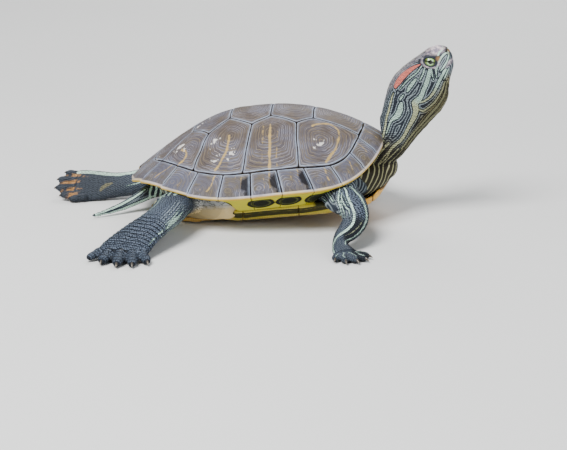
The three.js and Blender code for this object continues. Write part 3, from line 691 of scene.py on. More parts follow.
def plastron_point(x, across):
    """Lower face of the plastron: across runs from 0 at the midline to 1 at the edge or the marginals."""
    up = bridge(x)
    flat = 1 - 0.42 * up
    in_flat = np.minimum(across / flat, 1)
    beyond = np.maximum(0, across - flat) / np.maximum(1e-6, 1 - flat)
    curl = 1.8 * (1 - up) * smooth(0.75, 1, in_flat) * np.where(x < -46, 0.7, 1)
    y = mix(plastron_half_width(x) * in_flat, 56.4, beyond * up)
    return np.stack([x, -y, belly_rise(x) + curl + up * 10.6 * beyond ** 0.95], -1)


def lobe_swell(x, free):
    """Extra thickness near the edge of the front lobe, and a little by the hind legs' pockets."""
    front = 4.2 * np.exp(-free / 6) * smooth(46, 66, x)
    return front + 1.6 * np.exp(-free / 3) * smooth(-18, -26, x) * smooth(-62, -52, x)


def belly_plate_sheets(x, low, seam, free):
    """The lower and the upper face of a belly plate: sunken seams, and a rounded free edge."""
    up = bridge(x)
    inward = up * smooth(0.55, 0.8, ACROSS) * 0.85
    direction = np.stack([0 * x, inward, 1 - 0.3 * inward], -1)
    groove = np.exp(-seam / 0.5) * 0.55 + 0.05 * np.sin(seam * 2 * math.pi / 2.2) * smooth(1, 5, seam)
    notch = 1.3 * np.exp(-seam / 1.8) * np.exp(-free / 4) * (1 - up) * smooth(40, 60, x)
    thick = PLASTRON + lobe_swell(x, free)
    rounding = 0.42 * thick * np.exp(-free / (0.34 * thick)) * (1 - up)
    relief = (groove + notch + rounding) * np.where(x < BELLY_BEND_X + 4, 0.5, 1)
    return low + direction * relief[..., None], low + direction * (thick - notch - rounding)[..., None]


def sheet_faces(rows, columns):
    """Faces of a closed sheet: a lower grid of points, the upper grid after it, and the walls between."""
    total = rows * columns
    index = np.arange(total).reshape(rows, columns)
    outline = np.concatenate([index[0], index[1:, -1], index[-1, -2::-1], index[-2:0:-1, 0]])
    ahead = np.roll(outline, -1)
    walls = np.stack([outline, ahead, ahead + total, outline + total], -1)
    grid = grid_faces(rows, columns)
    return [np.concatenate([grid[:, ::-1], grid + total, walls])]


def belly_plate_fields(x, from_middle, low, seam, free):
    """What a belly plate's points know: blotches on its lower face, and a dark band along the bridge."""
    reach = np.abs(low[..., 1])
    blot = np.hypot(from_middle / 9.0, (reach - 24) / 9.5)
    band_line = 6.3 + 0.4 * np.sin(x / 9.0) + 0.11 * np.maximum(0, np.abs(x - 12) - 22)
    over_line = np.abs(low[..., 2]) - band_line
    band = 3.3 * smooth(-26, -16, x) * (1 - smooth(54, 62, x)) - np.abs(over_line)
    band = np.minimum(band, 3 * np.abs(over_line - 1.0) - 0.3)
    fields = {"growth": seam, "seam": seam, "free": free, "band": np.where(reach > 44, band, OFF),
              "ringed": 7 * (1 - blot) - 12 * smooth(54, 62, x), "forward": smooth(40, 80, x),
              "bridge": bridge(x) * smooth(0.5, 0.7, ACROSS)}
    fields = {key: np.tile(np.broadcast_to(values, x.shape).ravel(), 2) for key, values in fields.items()}
    fields["ringed"][x.size:] = OFF
    return fields


def belly_plate(k, side, label, material):
    rows = max(24, round((PLASTRON_SEAMS[k] - PLASTRON_SEAMS[k + 1]) / 0.8))
    share = spread_along(rows)[:, None]
    front = PLASTRON_SEAMS[k] + SEAM_SWEEP[k] * ACROSS ** 1.5 - SEAM
    rear = PLASTRON_SEAMS[k + 1] + SEAM_SWEEP[k + 1] * ACROSS ** 1.5 + SEAM
    x = mix(front, rear, share)
    low = plastron_point(x, np.broadcast_to(ACROSS, x.shape))
    width = np.abs(low[:, -1, 1]).max()
    seam = np.minimum(np.minimum(share, 1 - share) * (front - rear), ACROSS * width)
    free = (1 - ACROSS) * width
    if k == 0:
        free = np.minimum(free, share * (front - rear))
    sheets = belly_plate_sheets(x, low, seam, free)
    points = to_world(np.concatenate([sheet.reshape(-1, 3) for sheet in sheets]))
    points[:, 2] = np.maximum(points[:, 2], 0.0)
    points[:, 1] *= side
    faces = facing_out(points, sheet_faces(rows, BELLY_COLUMNS))
    fields = belly_plate_fields(x, (share - 0.5) * (front - rear), low, seam, free)
    name = f"{BELLY_PLATES[k]}_{label}"
    return mesh_piece(name, points, faces, fields, "belly_horn", [name], material)


def make_plastron(material):
    for k in range(len(BELLY_PLATES)):
        for side, label in SIDES:
            belly_plate(k, side, label, material)


# ---- shell finishes ----


def carapace_finish():
    r = Recipe("carapace horn")
    growth, seam, edge = r.field("growth"), r.field("seam"), r.field("edge")
    sheen_clouds = r.noise(0.035, 4)
    streaky = r.noise(0.22, 5)
    grain = r.noise(1.4, 4)
    on_rim = 1 - edge.above(19, 0.5)
    # brown horn, with a blue-grey sky reflection painted in clouds, and bluer along the rim
    horn = r.blend((0.1, 0.081, 0.071), (0.12, 0.118, 0.15), sheen_clouds.above(0.52, 0.12))
    horn = r.blend(horn, (0.13, 0.1, 0.075), streaky.above(0.58, 0.12) * 0.7)
    horn = r.blend(horn, (0.095, 0.102, 0.145), on_rim * (sheen_clouds + 0.15).clamped())
    horn = r.blend(horn, (0.11, 0.085, 0.04), on_rim * r.noise(0.13, 4).above(0.54, 0.1) * 0.6)
    # rings of growth: dark, amber and chalky
    ring = growth + streaky * 2.2
    lines = ring.wave(0.95).above(0.78, 0.18)
    broad = ring.wave(3.1).above(0.6, 0.35)
    horn = r.blend(horn, (0.03, 0.026, 0.03), (lines * 0.55 + broad * 0.3) * (1 - on_rim * 0.45))
    amber = (ring + 0.3).wave(2.3).above(0.9, 0.06) * r.noise(0.05, 2).above(0.47 - on_rim * 0.06, 0.06)
    horn = r.blend(horn, (0.25, 0.19, 0.09), amber * (0.34 - on_rim * 0.14))
    chalky = ring.wave(1.7).above(0.9, 0.1) * r.noise(0.07, 3).above(0.52, 0.06)
    horn = r.blend(horn, (0.27, 0.26, 0.3), chalky * 0.6)
    # yellow bars and black blotches
    bar = r.field("bar") + (grain - 0.5) * 0.9 + (streaky - 0.5) * 1.8 - 0.25
    horn = r.blend(horn, (0.44, 0.3, 0.1), bar.above(0.0, 0.3) * (streaky + 0.35).clamped() * 0.9)
    blotch = (r.field("blotch") + (streaky - 0.5) * 5).above(0.6, 1.0)
    horn = r.blend(horn, (0.006, 0.006, 0.009), blotch * 0.93)
    # two broken pale lines beside each seam, and the dark seam itself
    pale_seam = seam.near(0.75, 0.3, 0.14)
    second = seam.near(1.7, 0.2, 0.12) * 0.6
    broken = (r.noise(0.16, 3) * 2.0 - 0.2).clamped()
    horn = r.blend(horn, (0.33, 0.4, 0.52), (pale_seam + second * 0.5).clamped() * broken * 0.7)
    horn = r.blend(horn, (0.014, 0.014, 0.02), (1 - seam.above(0.32, 0.12)) * 0.55)
    # scuffs, and a painted highlight along the top of the rim: a pale lavender and tan line standing for
    # the sky's reflection
    chips = r.noise(0.4, 5, stretch=(1, 0.6, 1))
    scuff = (r.field("scuff") * 0.3 + chips * 4.2).above(2.75, 0.1)
    horn = r.blend(horn, (0.62, 0.59, 0.55), scuff * 0.9)
    rim_highlight_band = edge.near(0.6, 1.0, 0.35)
    rim_highlight_color = r.blend((0.5, 0.46, 0.5), (0.62, 0.5, 0.3), r.noise(0.05, 3).above(0.5, 0.1))
    horn = r.blend(horn, rim_highlight_color, rim_highlight_band * (r.noise(0.1, 3) * 1.4 + 0.15).clamped() * 0.9)
    # the yellow lower face with its ringed ovals
    yellow = r.blend((0.54, 0.45, 0.025), (0.42, 0.41, 0.04), r.noise(0.08, 3))
    yellow = r.blend(yellow, (0.64, 0.38, 0.05), edge.above(-2.0, 0.5) * 0.8)
    ringed = r.field("ringed") + (streaky - 0.5) * 0.6
    ring_light = ringed.above(1.5, 0.25) * (1 - ringed.above(2.1, 0.3))
    spots = r.blend((0.008, 0.01, 0.005), (0.07, 0.08, 0.02), ring_light)
    yellow = r.blend(yellow, spots, ringed.above(0.0, 0.18))
    yellow = r.blend(yellow, (0.06, 0.06, 0.015), (1 - seam.above(0.3, 0.1)) * 0.55)
    color = r.blend(horn, yellow, r.field("under").above(0.5, 0.15))
    rough = r.noise(0.5, 4) * 0.25 + 0.36 + scuff * 0.25
    relief = ring.wave(0.62) * 0.25 + grain * 0.5 + r.noise(0.35, 4, stretch=(0.5, 1.2, 1)) * 0.8
    return r.surface(color, rough, relief, lift=0.1, specular=0.06)


def belly_finish():
    r = Recipe("belly horn")
    growth, seam = r.field("growth"), r.field("seam")
    mottled = r.noise(0.06, 4)
    fine = r.noise(0.5, 4)
    # yellow horn, more orange at free edges and on the front lobe, greener at the bridge
    horn = r.blend((0.62, 0.4, 0.1), (0.66, 0.49, 0.2), mottled)
    horn = r.blend(horn, (0.6, 0.3, 0.05), (1 - r.field("free").above(1.6, 1.2)) * 0.5)
    lobe = r.blend((0.64, 0.26, 0.02), (0.76, 0.44, 0.09), mottled.above(0.5, 0.14))
    horn = r.blend(horn, lobe, r.field("forward") * 0.92)
    horn = r.blend(horn, (0.55, 0.47, 0.04), r.field("bridge") * 0.9)
    lines = (growth + fine * 1.2).wave(1.9).above(0.8, 0.15)
    horn = r.blend(horn, (0.36, 0.22, 0.07), lines * 0.3)
    # a dark ringed blotch on each plate, the band along the bridge, and the seams
    ringed = r.field("ringed") + (mottled - 0.5) * 9 + (fine - 0.5) * 1.5
    dark = (ringed.above(0.0, 0.3) * (1 - ringed.above(2.0, 0.3)) + ringed.above(3.4, 0.3)).clamped()
    horn = r.blend(horn, (0.022, 0.018, 0.012), dark * (1 - r.field("bridge")) * 0.85)
    band = r.field("band") + (mottled - 0.5) * 0.7
    horn = r.blend(horn, (0.014, 0.017, 0.009), band.above(0.0, 0.18) * 0.96)
    seam_mark = (1 - seam.above(0.42, 0.14)) * (1 - r.field("bridge") * 0.6)
    horn = r.blend(horn, (0.1, 0.045, 0.015), seam_mark * 0.8)
    relief = (growth + fine).wave(1.1) * 0.4 + fine * 0.6
    return r.surface(horn, fine * 0.2 + 0.3, relief, lift=0.07, specular=0.1, coat=0.05)


# ---- flesh: lofts through stations ----


def spline(rows, along):
    """Smooth curve through equally spaced rows of numbers, at fractional places along them."""
    rows = np.asarray(rows, float)
    n = len(rows)
    along = np.clip(np.asarray(along, float), 0, n - 1 - 1e-9)
    k = np.floor(along).astype(int)
    t = (along - k)[..., None]
    b, c = rows[k], rows[k + 1]
    a = np.where((k == 0)[..., None], 2 * b - c, rows[np.maximum(k - 1, 0)])
    d = np.where((k == n - 2)[..., None], 2 * c - b, rows[np.minimum(k + 2, n - 1)])
    cubic = (2 * a - 5 * b + 4 * c - d) * t ** 2 + (3 * b - a - 3 * c + d) * t ** 3
    return 0.5 * (2 * b + (c - a) * t + cubic)


def unit(vectors):
    return vectors / np.maximum(np.linalg.norm(vectors, axis=-1, keepdims=True), 1e-12)


DOME_TURNS = np.radians([25, 48, 68, 82])        # rings of a tube's rounded end


class Limb:
    """A tapering tube. Each station is its middle (x, y, z), one half axis as a vector (x, y, z), half
    the thickness across that, and how far the widest line leans along the half axis."""

    def __init__(self, stations, square=1.0):
        self.stations = np.array([(*s, 0)[:8] for s in stations], float)
        self.square = square
        self.end = len(self.stations) - 1

    def frame(self, along):
        """The axis at places along it: middle, wide and thick half axes, the way ahead, and lean."""
        along = np.asarray(along, float)
        row = spline(self.stations, along)
        before, after = (spline(self.stations, along + step)[..., :3] for step in (-0.06, 0.06))
        ahead = unit(after - before)
        wide = row[..., 3:6]
        thick = unit(np.cross(ahead, wide)) * row[..., 6:7]
        return row[..., :3], wide, thick, ahead, row[..., 7:8]

    def at(self, along, angle, grow=0.0):
        """Surface points; angle in degrees from the half axis."""
        middle, wide, thick, _, lean = self.frame(along)
        angle = np.radians(np.asarray(angle, float))[..., None]
        cos, sin = np.cos(angle), np.sin(angle)
        cos = np.sign(cos) * np.abs(cos) ** self.square
        sin = np.sign(sin) * np.abs(sin) ** self.square * (1 + lean * cos)
        reach = wide * cos + thick * sin
        return middle + reach + unit(reach) * grow

    def place(self, points):
        """Where points lie: along, angle in degrees, and distance from the axis in shares of the radius."""
        dense = np.linspace(0, self.end, self.end * 14 + 1)
        middle, wide, thick, _, _ = self.frame(dense)
        best = np.full(len(points), 1e18)
        which = np.zeros(len(points), int)
        for k, centre in enumerate(middle):
            gap = ((points - centre) ** 2).sum(1)
            closer = gap < best
            best[closer] = gap[closer]
            which[closer] = k
        offset = points - middle[which]
        size = np.linalg.norm(wide[which], axis=1)
        a = np.einsum("ij,ij->i", offset, wide[which]) / size ** 2
        b = np.einsum("ij,ij->i", offset, thick[which]) / np.einsum("ij,ij->i", thick[which], thick[which])
        rest = np.sqrt(np.maximum(best - (a * size) ** 2 - b * b * (thick[which] ** 2).sum(1), 0)) / size
        return dense[which], np.degrees(np.arctan2(b, a)), np.sqrt(a * a + b * b + rest ** 2)

    def loft(self, steps, sides, grow=0.0, domes=(1.0, 1.0)):
        """Closed tube with rounded ends, as points and faces."""
        angles = np.arange(sides) * 360 / sides

        def ring(along):
            return self.at(np.full(sides, along), angles, grow)

        def dome(along, direction, size):
            middle, wide, thick, ahead, _ = self.frame(along)
            depth = size * min(np.linalg.norm(wide), np.linalg.norm(thick))
            return [middle + (ring(along) - middle) * math.cos(t) + ahead * direction * depth * math.sin(t)
                    for t in DOME_TURNS]

        rings = [ring(along) for along in np.linspace(0, self.end, steps)]
        rings = dome(0.0, -1, domes[0])[::-1] + rings + dome(float(self.end), 1, domes[1])
        return closed_tube(rings, rings[0].mean(0), rings[-1].mean(0))


def profiled(rows):
    """Stations from rows of upper outline (x, z), lower outline (x, z), half width and lean."""
    return [((ux + lx) / 2, 0, (uz + lz) / 2, (ux - lx) / 2, 0, (uz - lz) / 2, half, lean)
            for ux, uz, lx, lz, half, lean in rows]


HEAD_NECK = Limb(profiled([
    (211.9, 131.6, 213.6, 127.4, 2.9, 0), (210.0, 134.4, 214.7, 122.9, 4.8, 0),
    (206.4, 136.8, 214.3, 118.2, 7.2, 0.06), (200.8, 137.0, 212.4, 111.4, 10.2, 0.12),
    (194.2, 133.8, 211.3, 103.6, 12.4, 0.16), (187.6, 128.8, 210.6, 95.0, 14.2, 0.2),
    (180.6, 123.6, 206.4, 86.2, 15.6, 0.18), (174.4, 118.4, 200.6, 79.4, 15.9, 0.12),
    (168.6, 112.4, 194.2, 72.0, 15.6, 0.06), (164.2, 104.0, 187.0, 63.6, 15.4, 0),
    (161.4, 93.0, 180.0, 54.0, 15.8, 0), (158.4, 80.0, 172.0, 45.0, 16.8, 0),
    (152.0, 68.0, 160.0, 36.0, 19.0, 0), (140.0, 61.0, 142.0, 31.0, 22.0, 0),
    (120.0, 56.0, 120.0, 28.0, 22.0, 0),
]), square=0.86)
FORE_RIGHT = Limb([
    (112, -34, 30, 13, 0, 4, 11), (127, -46, 28, 12.5, 5, 3, 10.5), (137, -60, 26, 11.5, 5, 1, 10),
    (143, -74, 22.5, 10.2, 3, 2, 9.6), (144.2, -86, 18.5, 9.2, -2, 3, 9), (141, -97, 14.8, 7.6, -5, 2, 7.6),
    (136.2, -106, 11.6, 5.9, -4, 1, 6.2), (134.6, -114, 9, 5.7, -1, 0, 5.4),
    (136.4, -121.5, 6.4, 7.2, 2, 0, 4.6), (140, -127, 4.6, 8.4, 3.5, 0, 4),
])
FORE_LEFT = Limb([
    (112, 34, 30, 13, 0, 4, 11), (126, 45, 28, 12, -5, 3, 10.5), (135, 58, 25.5, 11, -6, 1, 10),
    (140, 72, 21.5, 10, -3, 2, 9.6), (139.5, 84, 17.5, 9, 2, 3, 9), (134.5, 94, 14, 7.6, 5, 2, 7.6),
    (129, 102, 11, 6.3, 4, 1, 6.4), (127, 110, 8.6, 6.2, 1, 0, 5.6), (128.5, 117.5, 6.2, 7.6, -2, 0, 4.8),
    (131.5, 123, 4.6, 8.6, -3.5, 0, 4),
])
HIND_RIGHT = Limb([
    (26, -28, 22, 15, 0, 0, 11), (14, -46, 21.5, 16, 0, 3, 10.5), (4, -62, 21, 15.5, -1, 3, 10.5),
    (2, -76, 20.5, 14, -2, 3, 11), (-1, -89, 19, 12.5, -6, 3, 10.4), (-7, -101, 16.5, 13.5, -8, 2.5, 9),
    (-14, -113, 13.2, 15.5, -8, 1.5, 7.6), (-20, -125, 9.8, 17.5, -6.5, 0.5, 6.2),
    (-24.5, -136, 6.6, 18.8, -5, 0, 5), (-26.5, -143, 4.8, 19, -4, 0, 4.2),
])
HIND_LEFT = Limb([
    (24, 26, 22, 0, 4, 14, 13), (6, 32, 21, 0, 3, 13.6, 12.5), (-12, 34, 18.4, 0, 3, 12, 11),
    (-28, 33.5, 15, 0, 4, 10.4, 9), (-42, 32, 12.2, 0, 6, 8.4, 7.4), (-55, 30, 10.6, 0, 8.4, 7.6, 5.8),
    (-67, 28.5, 10.2, 0, 10.8, 8.6, 4.8), (-79, 27, 10.4, 0, 12.4, 9.4, 4),
    (-87, 26, 10.4, 0, 12.6, 9.2, 3.4),
])
TAIL = Limb([
    (-6, 0, 20, 0, 9, 0, 9), (-20, -3, 17, 0, 6.8, 0, 6.4), (-32, -9, 11.2, 0.8, 4.8, 0, 4.6),
    (-42, -16, 7, 1.4, 3.6, 0, 3.4), (-51, -23, 4.6, 1.4, 2.7, 0, 2.6), (-58, -28, 3.3, 1.2, 1.9, 0, 1.9),
    (-64.5, -32, 2.4, 0.6, 1.1, 0, 1.1),
])
# Each toe: root, tip, radius and length of claw; the outermost hind toes have none.
TOES = {
    "fore_right": [
        ((133.5, -125, 3.6), (132.6, -136, 3), 3, 3), ((137.8, -128, 3.8), (140.5, -139.8, 3), 3.3, 3.4),
        ((142, -128, 3.8), (148.5, -138.4, 3), 3.4, 3.4),
        ((145.6, -125.5, 3.6), (154.5, -133, 3), 3.3, 3.4),
        ((147, -121.5, 3.4), (156.5, -125.5, 2.9), 3, 3),
    ],
    "fore_left": [
        ((125, 121, 3.6), (124.5, 132, 3), 3.2, 3), ((129, 124, 3.8), (132, 135.5, 3), 3.5, 3.4),
        ((133, 124, 3.8), (139.5, 134, 3), 3.6, 3.4), ((136.5, 121.5, 3.6), (145, 129, 3), 3.5, 3.4),
        ((138, 117.5, 3.4), (147, 121.5, 2.9), 3.2, 3),
    ],
    "hind_right": [
        ((-42, -137, 5.6), (-49.5, -150, 3.2), 3.2, 0), ((-35, -141, 6.4), (-38.5, -158, 3.2), 3.8, 3),
        ((-26.5, -143, 6.8), (-26.5, -163, 3.3), 4, 3.4), ((-18, -143, 6.6), (-15.3, -162, 3.3), 3.9, 3.4),
        ((-10.5, -141, 6.2), (-5, -155.5, 3.1), 3.5, 3.2),
    ],
    "hind_left": [
        ((-78, 15.5, 4), (-90, 11.5, 3.4), 3.2, 0), ((-83, 20, 5.6), (-98, 16.5, 4.8), 3.4, 2),
        ((-86, 25.6, 9.4), (-103, 23.6, 9), 3.5, 2.2), ((-86, 31.5, 13.4), (-102, 31, 14), 3.4, 2.2),
        ((-83, 36.4, 16.8), (-97, 37.4, 18.2), 3, 2),
    ],
}


# ---- one skin over head, neck, trunk, legs and tail ----
COAT = 0.3                  # how far the skin lies under the outline that the scales reach
VOXEL = 0.8                 # mm, the grain of the fused skin
TRUNK_SIDES = 120
TRUNK_FLOOR = 4.3           # height of the trunk's underside over the plastron's
FINE_FROM_X = 178           # the head from here forward gets finer mesh
FINE_FROM_Z = 98
TOE_SHAPE = [(0, 0.92), (0.2, 1.0), (0.42, 0.93), (0.62, 1.0), (0.85, 0.9), (1.0, 0.66)]
WEB_REACH = {"fore_right": 0.35, "fore_left": 0.35, "hind_right": 0.6, "hind_left": 0.95}
FEET = {"fore_right": FORE_RIGHT, "fore_left": FORE_LEFT, "hind_right": HIND_RIGHT, "hind_left": HIND_LEFT}


def toe_axes(root, tip):
    """A toe's two ends, and the ways ahead and across."""
    root, tip = np.array(root, float), np.array(tip, float)
    ahead = unit(tip - root)
    return root, tip, ahead, unit(np.array([-ahead[1], ahead[0], 0.0]))


def toe_limb(root, tip, radius):
    root, tip, _, across = toe_axes(root, tip)
    return Limb([(*mix(root, tip, at), *(across * radius * size), radius * size * 0.86)
                 for at, size in TOE_SHAPE])


def web_limb(first, second, reach):
    """The web between two toes, as a flat limb from behind their roots to `reach` of their length."""
    stations = []
    for at in np.linspace(-0.5, reach, 6):
        a, b = (mix(np.array(toe[0], float), np.array(toe[1], float), at) for toe in (first, second))
        middle = (a + b) / 2
        stations.append((*middle[:2], middle[2] - 0.9, *((b - a) / 2), 0.95))
    return Limb(stations)


TOE_LIMBS = {foot: [toe_limb(*toe[:3]) for toe in toes] for foot, toes in TOES.items()}
# Loose skin that fills the shoulders, the rump, the near armpit and the front of the shell round the neck.
SHOULDERS = [Limb([(104, side * 6, 42, 16, 0, 3, 16), (118, side * 24, 40, 15, side * 2, 3, 15),
                   (130, side * 42, 35, 12, side * 4, 3, 12)]) for side in (-1, 1)]
RUMPS = [Limb([(10, side * 4, 21, 14, 0, 2, 12), (6, side * 18, 21, 14, 0, 3, 12.5),
               (10, side * 36, 23, 13, 0, 2, 12)]) for side in (-1, 1)]
ARMPIT = Limb([(123, -62, 24, 3.5, 0, 1, 3.2), (128, -69, 23, 4, 0, 1, 3.6), (134, -74, 22, 4, 0, 1, 3.6)])
APRON = Limb([(100, 0, 27, 0, 42, 0, 15), (125, 0, 30, 0, 40, 0, 15), (145, 0, 33, 0, 36, 0, 14),
              (157, 0, 36, 0, 28, 0, 12), (164.5, 0, 39, 0, 17, 0, 8)], square=0.7)


def trunk_loft():
    """The trunk inside the shell, wide enough to fill the leg pockets with loose skin."""
    phi = (np.arange(TRUNK_SIDES) + 0.5) * 2 * math.pi / TRUNK_SIDES
    turned = np.minimum(phi, 2 * math.pi - phi)
    place, _, rise = rim(turned).T
    down = bridge(place)
    pocket = smooth(-92, -78, place) * smooth(-14, -24, place)

    def ring(rho, height=None, bent=0):
        """One ring, under the carapace unless it has a height; `bent` is how far it follows the belly."""
        points = carapace(turned, rho)
        points[:, 2] = points[:, 2] - 6 if height is None else height + bent * belly_rise(points[:, 0])
        points[:, 1] *= np.where(phi > math.pi, -1, 1)
        return points

    rings = [ring(rho) for rho in (0.3, 0.5, 0.65, 0.75)]
    rings += [ring(mix(0.85, 0.78, down), rise - mix(6.2, 7.5, down)),
              ring(mix(0.8, 0.74, down), mix(mix(21, 15, pocket), 16, down), 0.5),
              ring(mix(mix(0.7, 0.735, pocket), 0.64, down), mix(mix(9, 5, pocket), 13, down), 1),
              ring(0.55, TRUNK_FLOOR, 1), ring(0.3, TRUNK_FLOOR, 1)]
    points, faces = closed_tube(rings, [0, 0, SHELL_TOP - 6], [0, 0, TRUNK_FLOOR])
    return to_world(points), faces


def joined(parts):
    """Several parts' points and faces as one part's."""
    points = []
    faces = []
    count = 0
    for part_points, part_faces in parts:
        points.append(part_points)
        faces += [group + count for group in part_faces]
        count += len(part_points)
    return np.concatenate(points), faces


def flesh_parts():
    parts = [trunk_loft(), HEAD_NECK.loft(90, 72, -COAT, (0.4, 0.3)),
             TAIL.loft(60, 30, -COAT * 0.6, (0.3, 1.2))]
    for limb in FEET.values():
        parts.append(limb.loft(70, 44, -COAT, (0.3, 0.5)))
    for pad in (*SHOULDERS, *RUMPS, ARMPIT, APRON):
        parts.append(pad.loft(24, 32))
    for foot, toes in TOES.items():
        parts += [toe.loft(26, 20, -COAT * 0.7, (0.4, 0.9)) for toe in TOE_LIMBS[foot]]
        for first, second in zip(toes[:-1], toes[1:]):
            parts.append(web_limb(first, second, WEB_REACH[foot]).loft(12, 18, 0, (0.3, 0.8)))
    return parts


def mesh_arrays(mesh):
    points = np.empty(len(mesh.vertices) * 3, np.float32)
    mesh.vertices.foreach_get("co", points)
    normals = np.empty(len(mesh.vertices) * 3, np.float32)
    mesh.vertices.foreach_get("normal", normals)
    return points.reshape(-1, 3).astype(float), normals.reshape(-1, 3).astype(float)


def fused(parts):
    """All parts as one closed skin, in mm."""
    points, faces = joined(parts)
    raw = mesh_piece("flesh raw", points / MM, faces)
    fuse = raw.modifiers.new("fuse", "REMESH")
    fuse.mode = "VOXEL"
    fuse.voxel_size = VOXEL
    ease = raw.modifiers.new("ease", "SMOOTH")
    ease.factor = 0.5
    ease.iterations = 5
    depsgraph = bpy.context.evaluated_depsgraph_get()
    mesh = bpy.data.meshes.new_from_object(raw.evaluated_get(depsgraph), depsgraph=depsgraph)
    bpy.data.objects.remove(raw)
    return mesh


def refine_head(mesh):
    """Finer mesh at the front of the head."""
    work = bmesh.new()
    work.from_mesh(mesh)

    def in_head(vertex):
        return vertex.co.x > FINE_FROM_X and vertex.co.z > FINE_FROM_Z

    edges = [edge for edge in work.edges if in_head(edge.verts[0]) and in_head(edge.verts[1])]
    bmesh.ops.subdivide_edges(work, edges=edges, cuts=1, use_grid_fill=True)
    near = [vertex for vertex in work.verts if in_head(vertex)]
    for _ in range(3):
        bmesh.ops.smooth_vert(work, verts=near, factor=0.5,
                              use_axis_x=True, use_axis_y=True, use_axis_z=True)
    bmesh.ops.triangulate(work, faces=[face for face in work.faces if len(face.verts) > 4])
    work.to_mesh(mesh)
    work.free()
    mesh.update()
    return mesh


EYE_AT = np.array([196.3, 7.4, 125.3])
EYE_RADIUS = 5.4
LIDS = (5.1, 3.4)           # half axes of the opening between the lids
LID = 0.45                  # thickness of a lid over the eye
GAZE = unit(np.array([0.1, 0.985, 0.14]))
EYE_LONG = unit(np.array([0.97, -0.1, -0.2]) - GAZE * (np.array([0.97, -0.1, -0.2]) @ GAZE))
EYE_UP = np.cross(GAZE, EYE_LONG) * np.sign(np.cross(GAZE, EYE_LONG)[2])
MOUTH = np.array([(215.6, 0, 126.2), (214.6, 3.6, 125.6), (213.0, 5.6, 124.4), (209.3, 9.6, 121.4),
                  (205.6, 11.9, 118.3), (202.4, 13.2, 115.6), (200.2, 13.6, 113.4)])
MOUTH_UP = np.array([-0.45, 0, 0.85])
NOSTRIL = np.array([210.4, 2.4, 133.4])
# The mouth's slit and its lips: how far above the slit, how far the skin stands out, and how broadly.
LIPS = [(0, -0.75, 0.6), (1.35, 0.42, 0.95), (-1.6, 0.22, 1.1)]
# Nostrils, brows and cheeks: place, how far the skin stands out or in there, and how broadly.
SWELLS = [
    (NOSTRIL, -1.1, 0.75), (NOSTRIL + [-1.3, 0.5, 0.8], 0.3, 1.2),
    (EYE_AT + EYE_UP * 5.4 + GAZE * 2.4, 1.0, 3.0), (EYE_AT - EYE_UP * 5.8 + GAZE * 2.4, 0.5, 2.4),
    (EYE_AT + EYE_LONG * 8.0 + GAZE * 1.0, -0.5, 2.6), (np.array([203.5, 4.5, 137]), -0.45, 3.4),
]


def bump(distance, size):
    return np.exp(-(distance / size) ** 2)


def eye_place(points):
    """Places in the eye's frame: along it, up it and out of it; and 1 at the edge of the lids' opening."""
    offset = points - EYE_AT
    along, up, out = offset @ EYE_LONG, offset @ EYE_UP, offset @ GAZE
    return along, up, out, np.hypot(along / LIDS[0], up / LIDS[1])


def head_relief(near):
    lift = sum(height * bump(distance_to(near, MOUTH + above * MOUTH_UP), size)
               for above, height, size in LIPS)
    return lift + sum(height * bump(np.linalg.norm(near - place, axis=1), size)
                      for place, height, size in SWELLS)


def drawn_over_eye(near):
    """Skin drawn close over the eyeball as lids, with a fold round them and an open socket between."""
    out, opening = eye_place(near)[2:]
    offset = near - EYE_AT
    ball = np.linalg.norm(offset, axis=1)
    covered = np.maximum(ball, EYE_RADIUS + LID)
    drawn = mix(EYE_RADIUS + LID, covered, smooth(1.0, 1.7, opening))
    drawn = drawn - 0.3 * bump(opening - 1.36, 0.1)
    drawn = np.where(opening < 1, np.minimum(ball, EYE_RADIUS - 1.4), drawn)
    return np.where((out > 0)[:, None], EYE_AT + unit(offset) * drawn[:, None], near)


def shape_head(points, normals):
    """Eye sockets, brows, mouth, nostrils and cheeks, on both sides alike."""
    head = points[:, 0] > FINE_FROM_X - 6
    side = np.where(points[head, 1] < 0, -1.0, 1.0)[:, None]
    flip = np.concatenate([np.ones_like(side), side, np.ones_like(side)], 1)
    near = points[head] * flip
    near = near + normals[head] * flip * head_relief(near)[:, None]
    shaped = points.copy()
    shaped[head] = drawn_over_eye(near) * flip
    return shaped


def keep_clear(points):
    """Skin held under the marginals, before them at the neck, over the plastron and above the floor."""
    x, y, z = to_shell(points).T
    phi, rho = facing(x, y)
    edge = rim(phi)
    down = bridge(edge[:, 0])
    low = under_reach(down)
    share = np.clip((UNDER_OUT - rho) / (UNDER_OUT - low), 0, 1)
    ceiling = edge[:, 2] - under_drop(share, down) - 0.6
    ceiling = np.where(rho < low - 0.01, carapace(phi, np.minimum(rho, 0.99))[:, 2] - 5.2, ceiling)
    ceiling = ceiling + 35 * np.maximum(0, rho - UNDER_OUT) + 900 * np.maximum(0, rho - 1.1)
    # at the neck the skin goes out past the rim, not down under it
    over_rim = z - edge[:, 2]
    before = (x > 84) & (np.abs(y) < 30)
    lip = 1.02 - 0.0033 * np.maximum(0, over_rim - 2)
    ahead = before & (z > ceiling) & (rho > low) & ((over_rim > -1.5) | (rho > 0.95))
    push = np.where(ahead, np.maximum(1, lip / np.maximum(rho, 0.5)), 1)
    x, y = x * push, mix(y, y * push, 0.5)
    z = np.where(ahead | (before & (rho > 1)), z, np.minimum(z, ceiling))
    across = np.abs(y) / np.maximum(plastron_half_width(x), 1e-3)
    inside = (across < 1.0) & (x < PLASTRON_SEAMS[0]) & (x > PLASTRON_SEAMS[-1])
    free = (1 - across) * plastron_half_width(x)
    sheet = plastron_point(x, np.clip(across, 0, 0.57))[:, 2] + PLASTRON + 0.25
    sheet = sheet + lobe_swell(x, free) * (1 - bridge(x))
    z = np.where(inside, np.maximum(z, sheet), z)
    clear = to_world(np.stack([x, y, z], -1))
    clear[:, 2] = np.maximum(clear[:, 2], 0.25)
    return clear


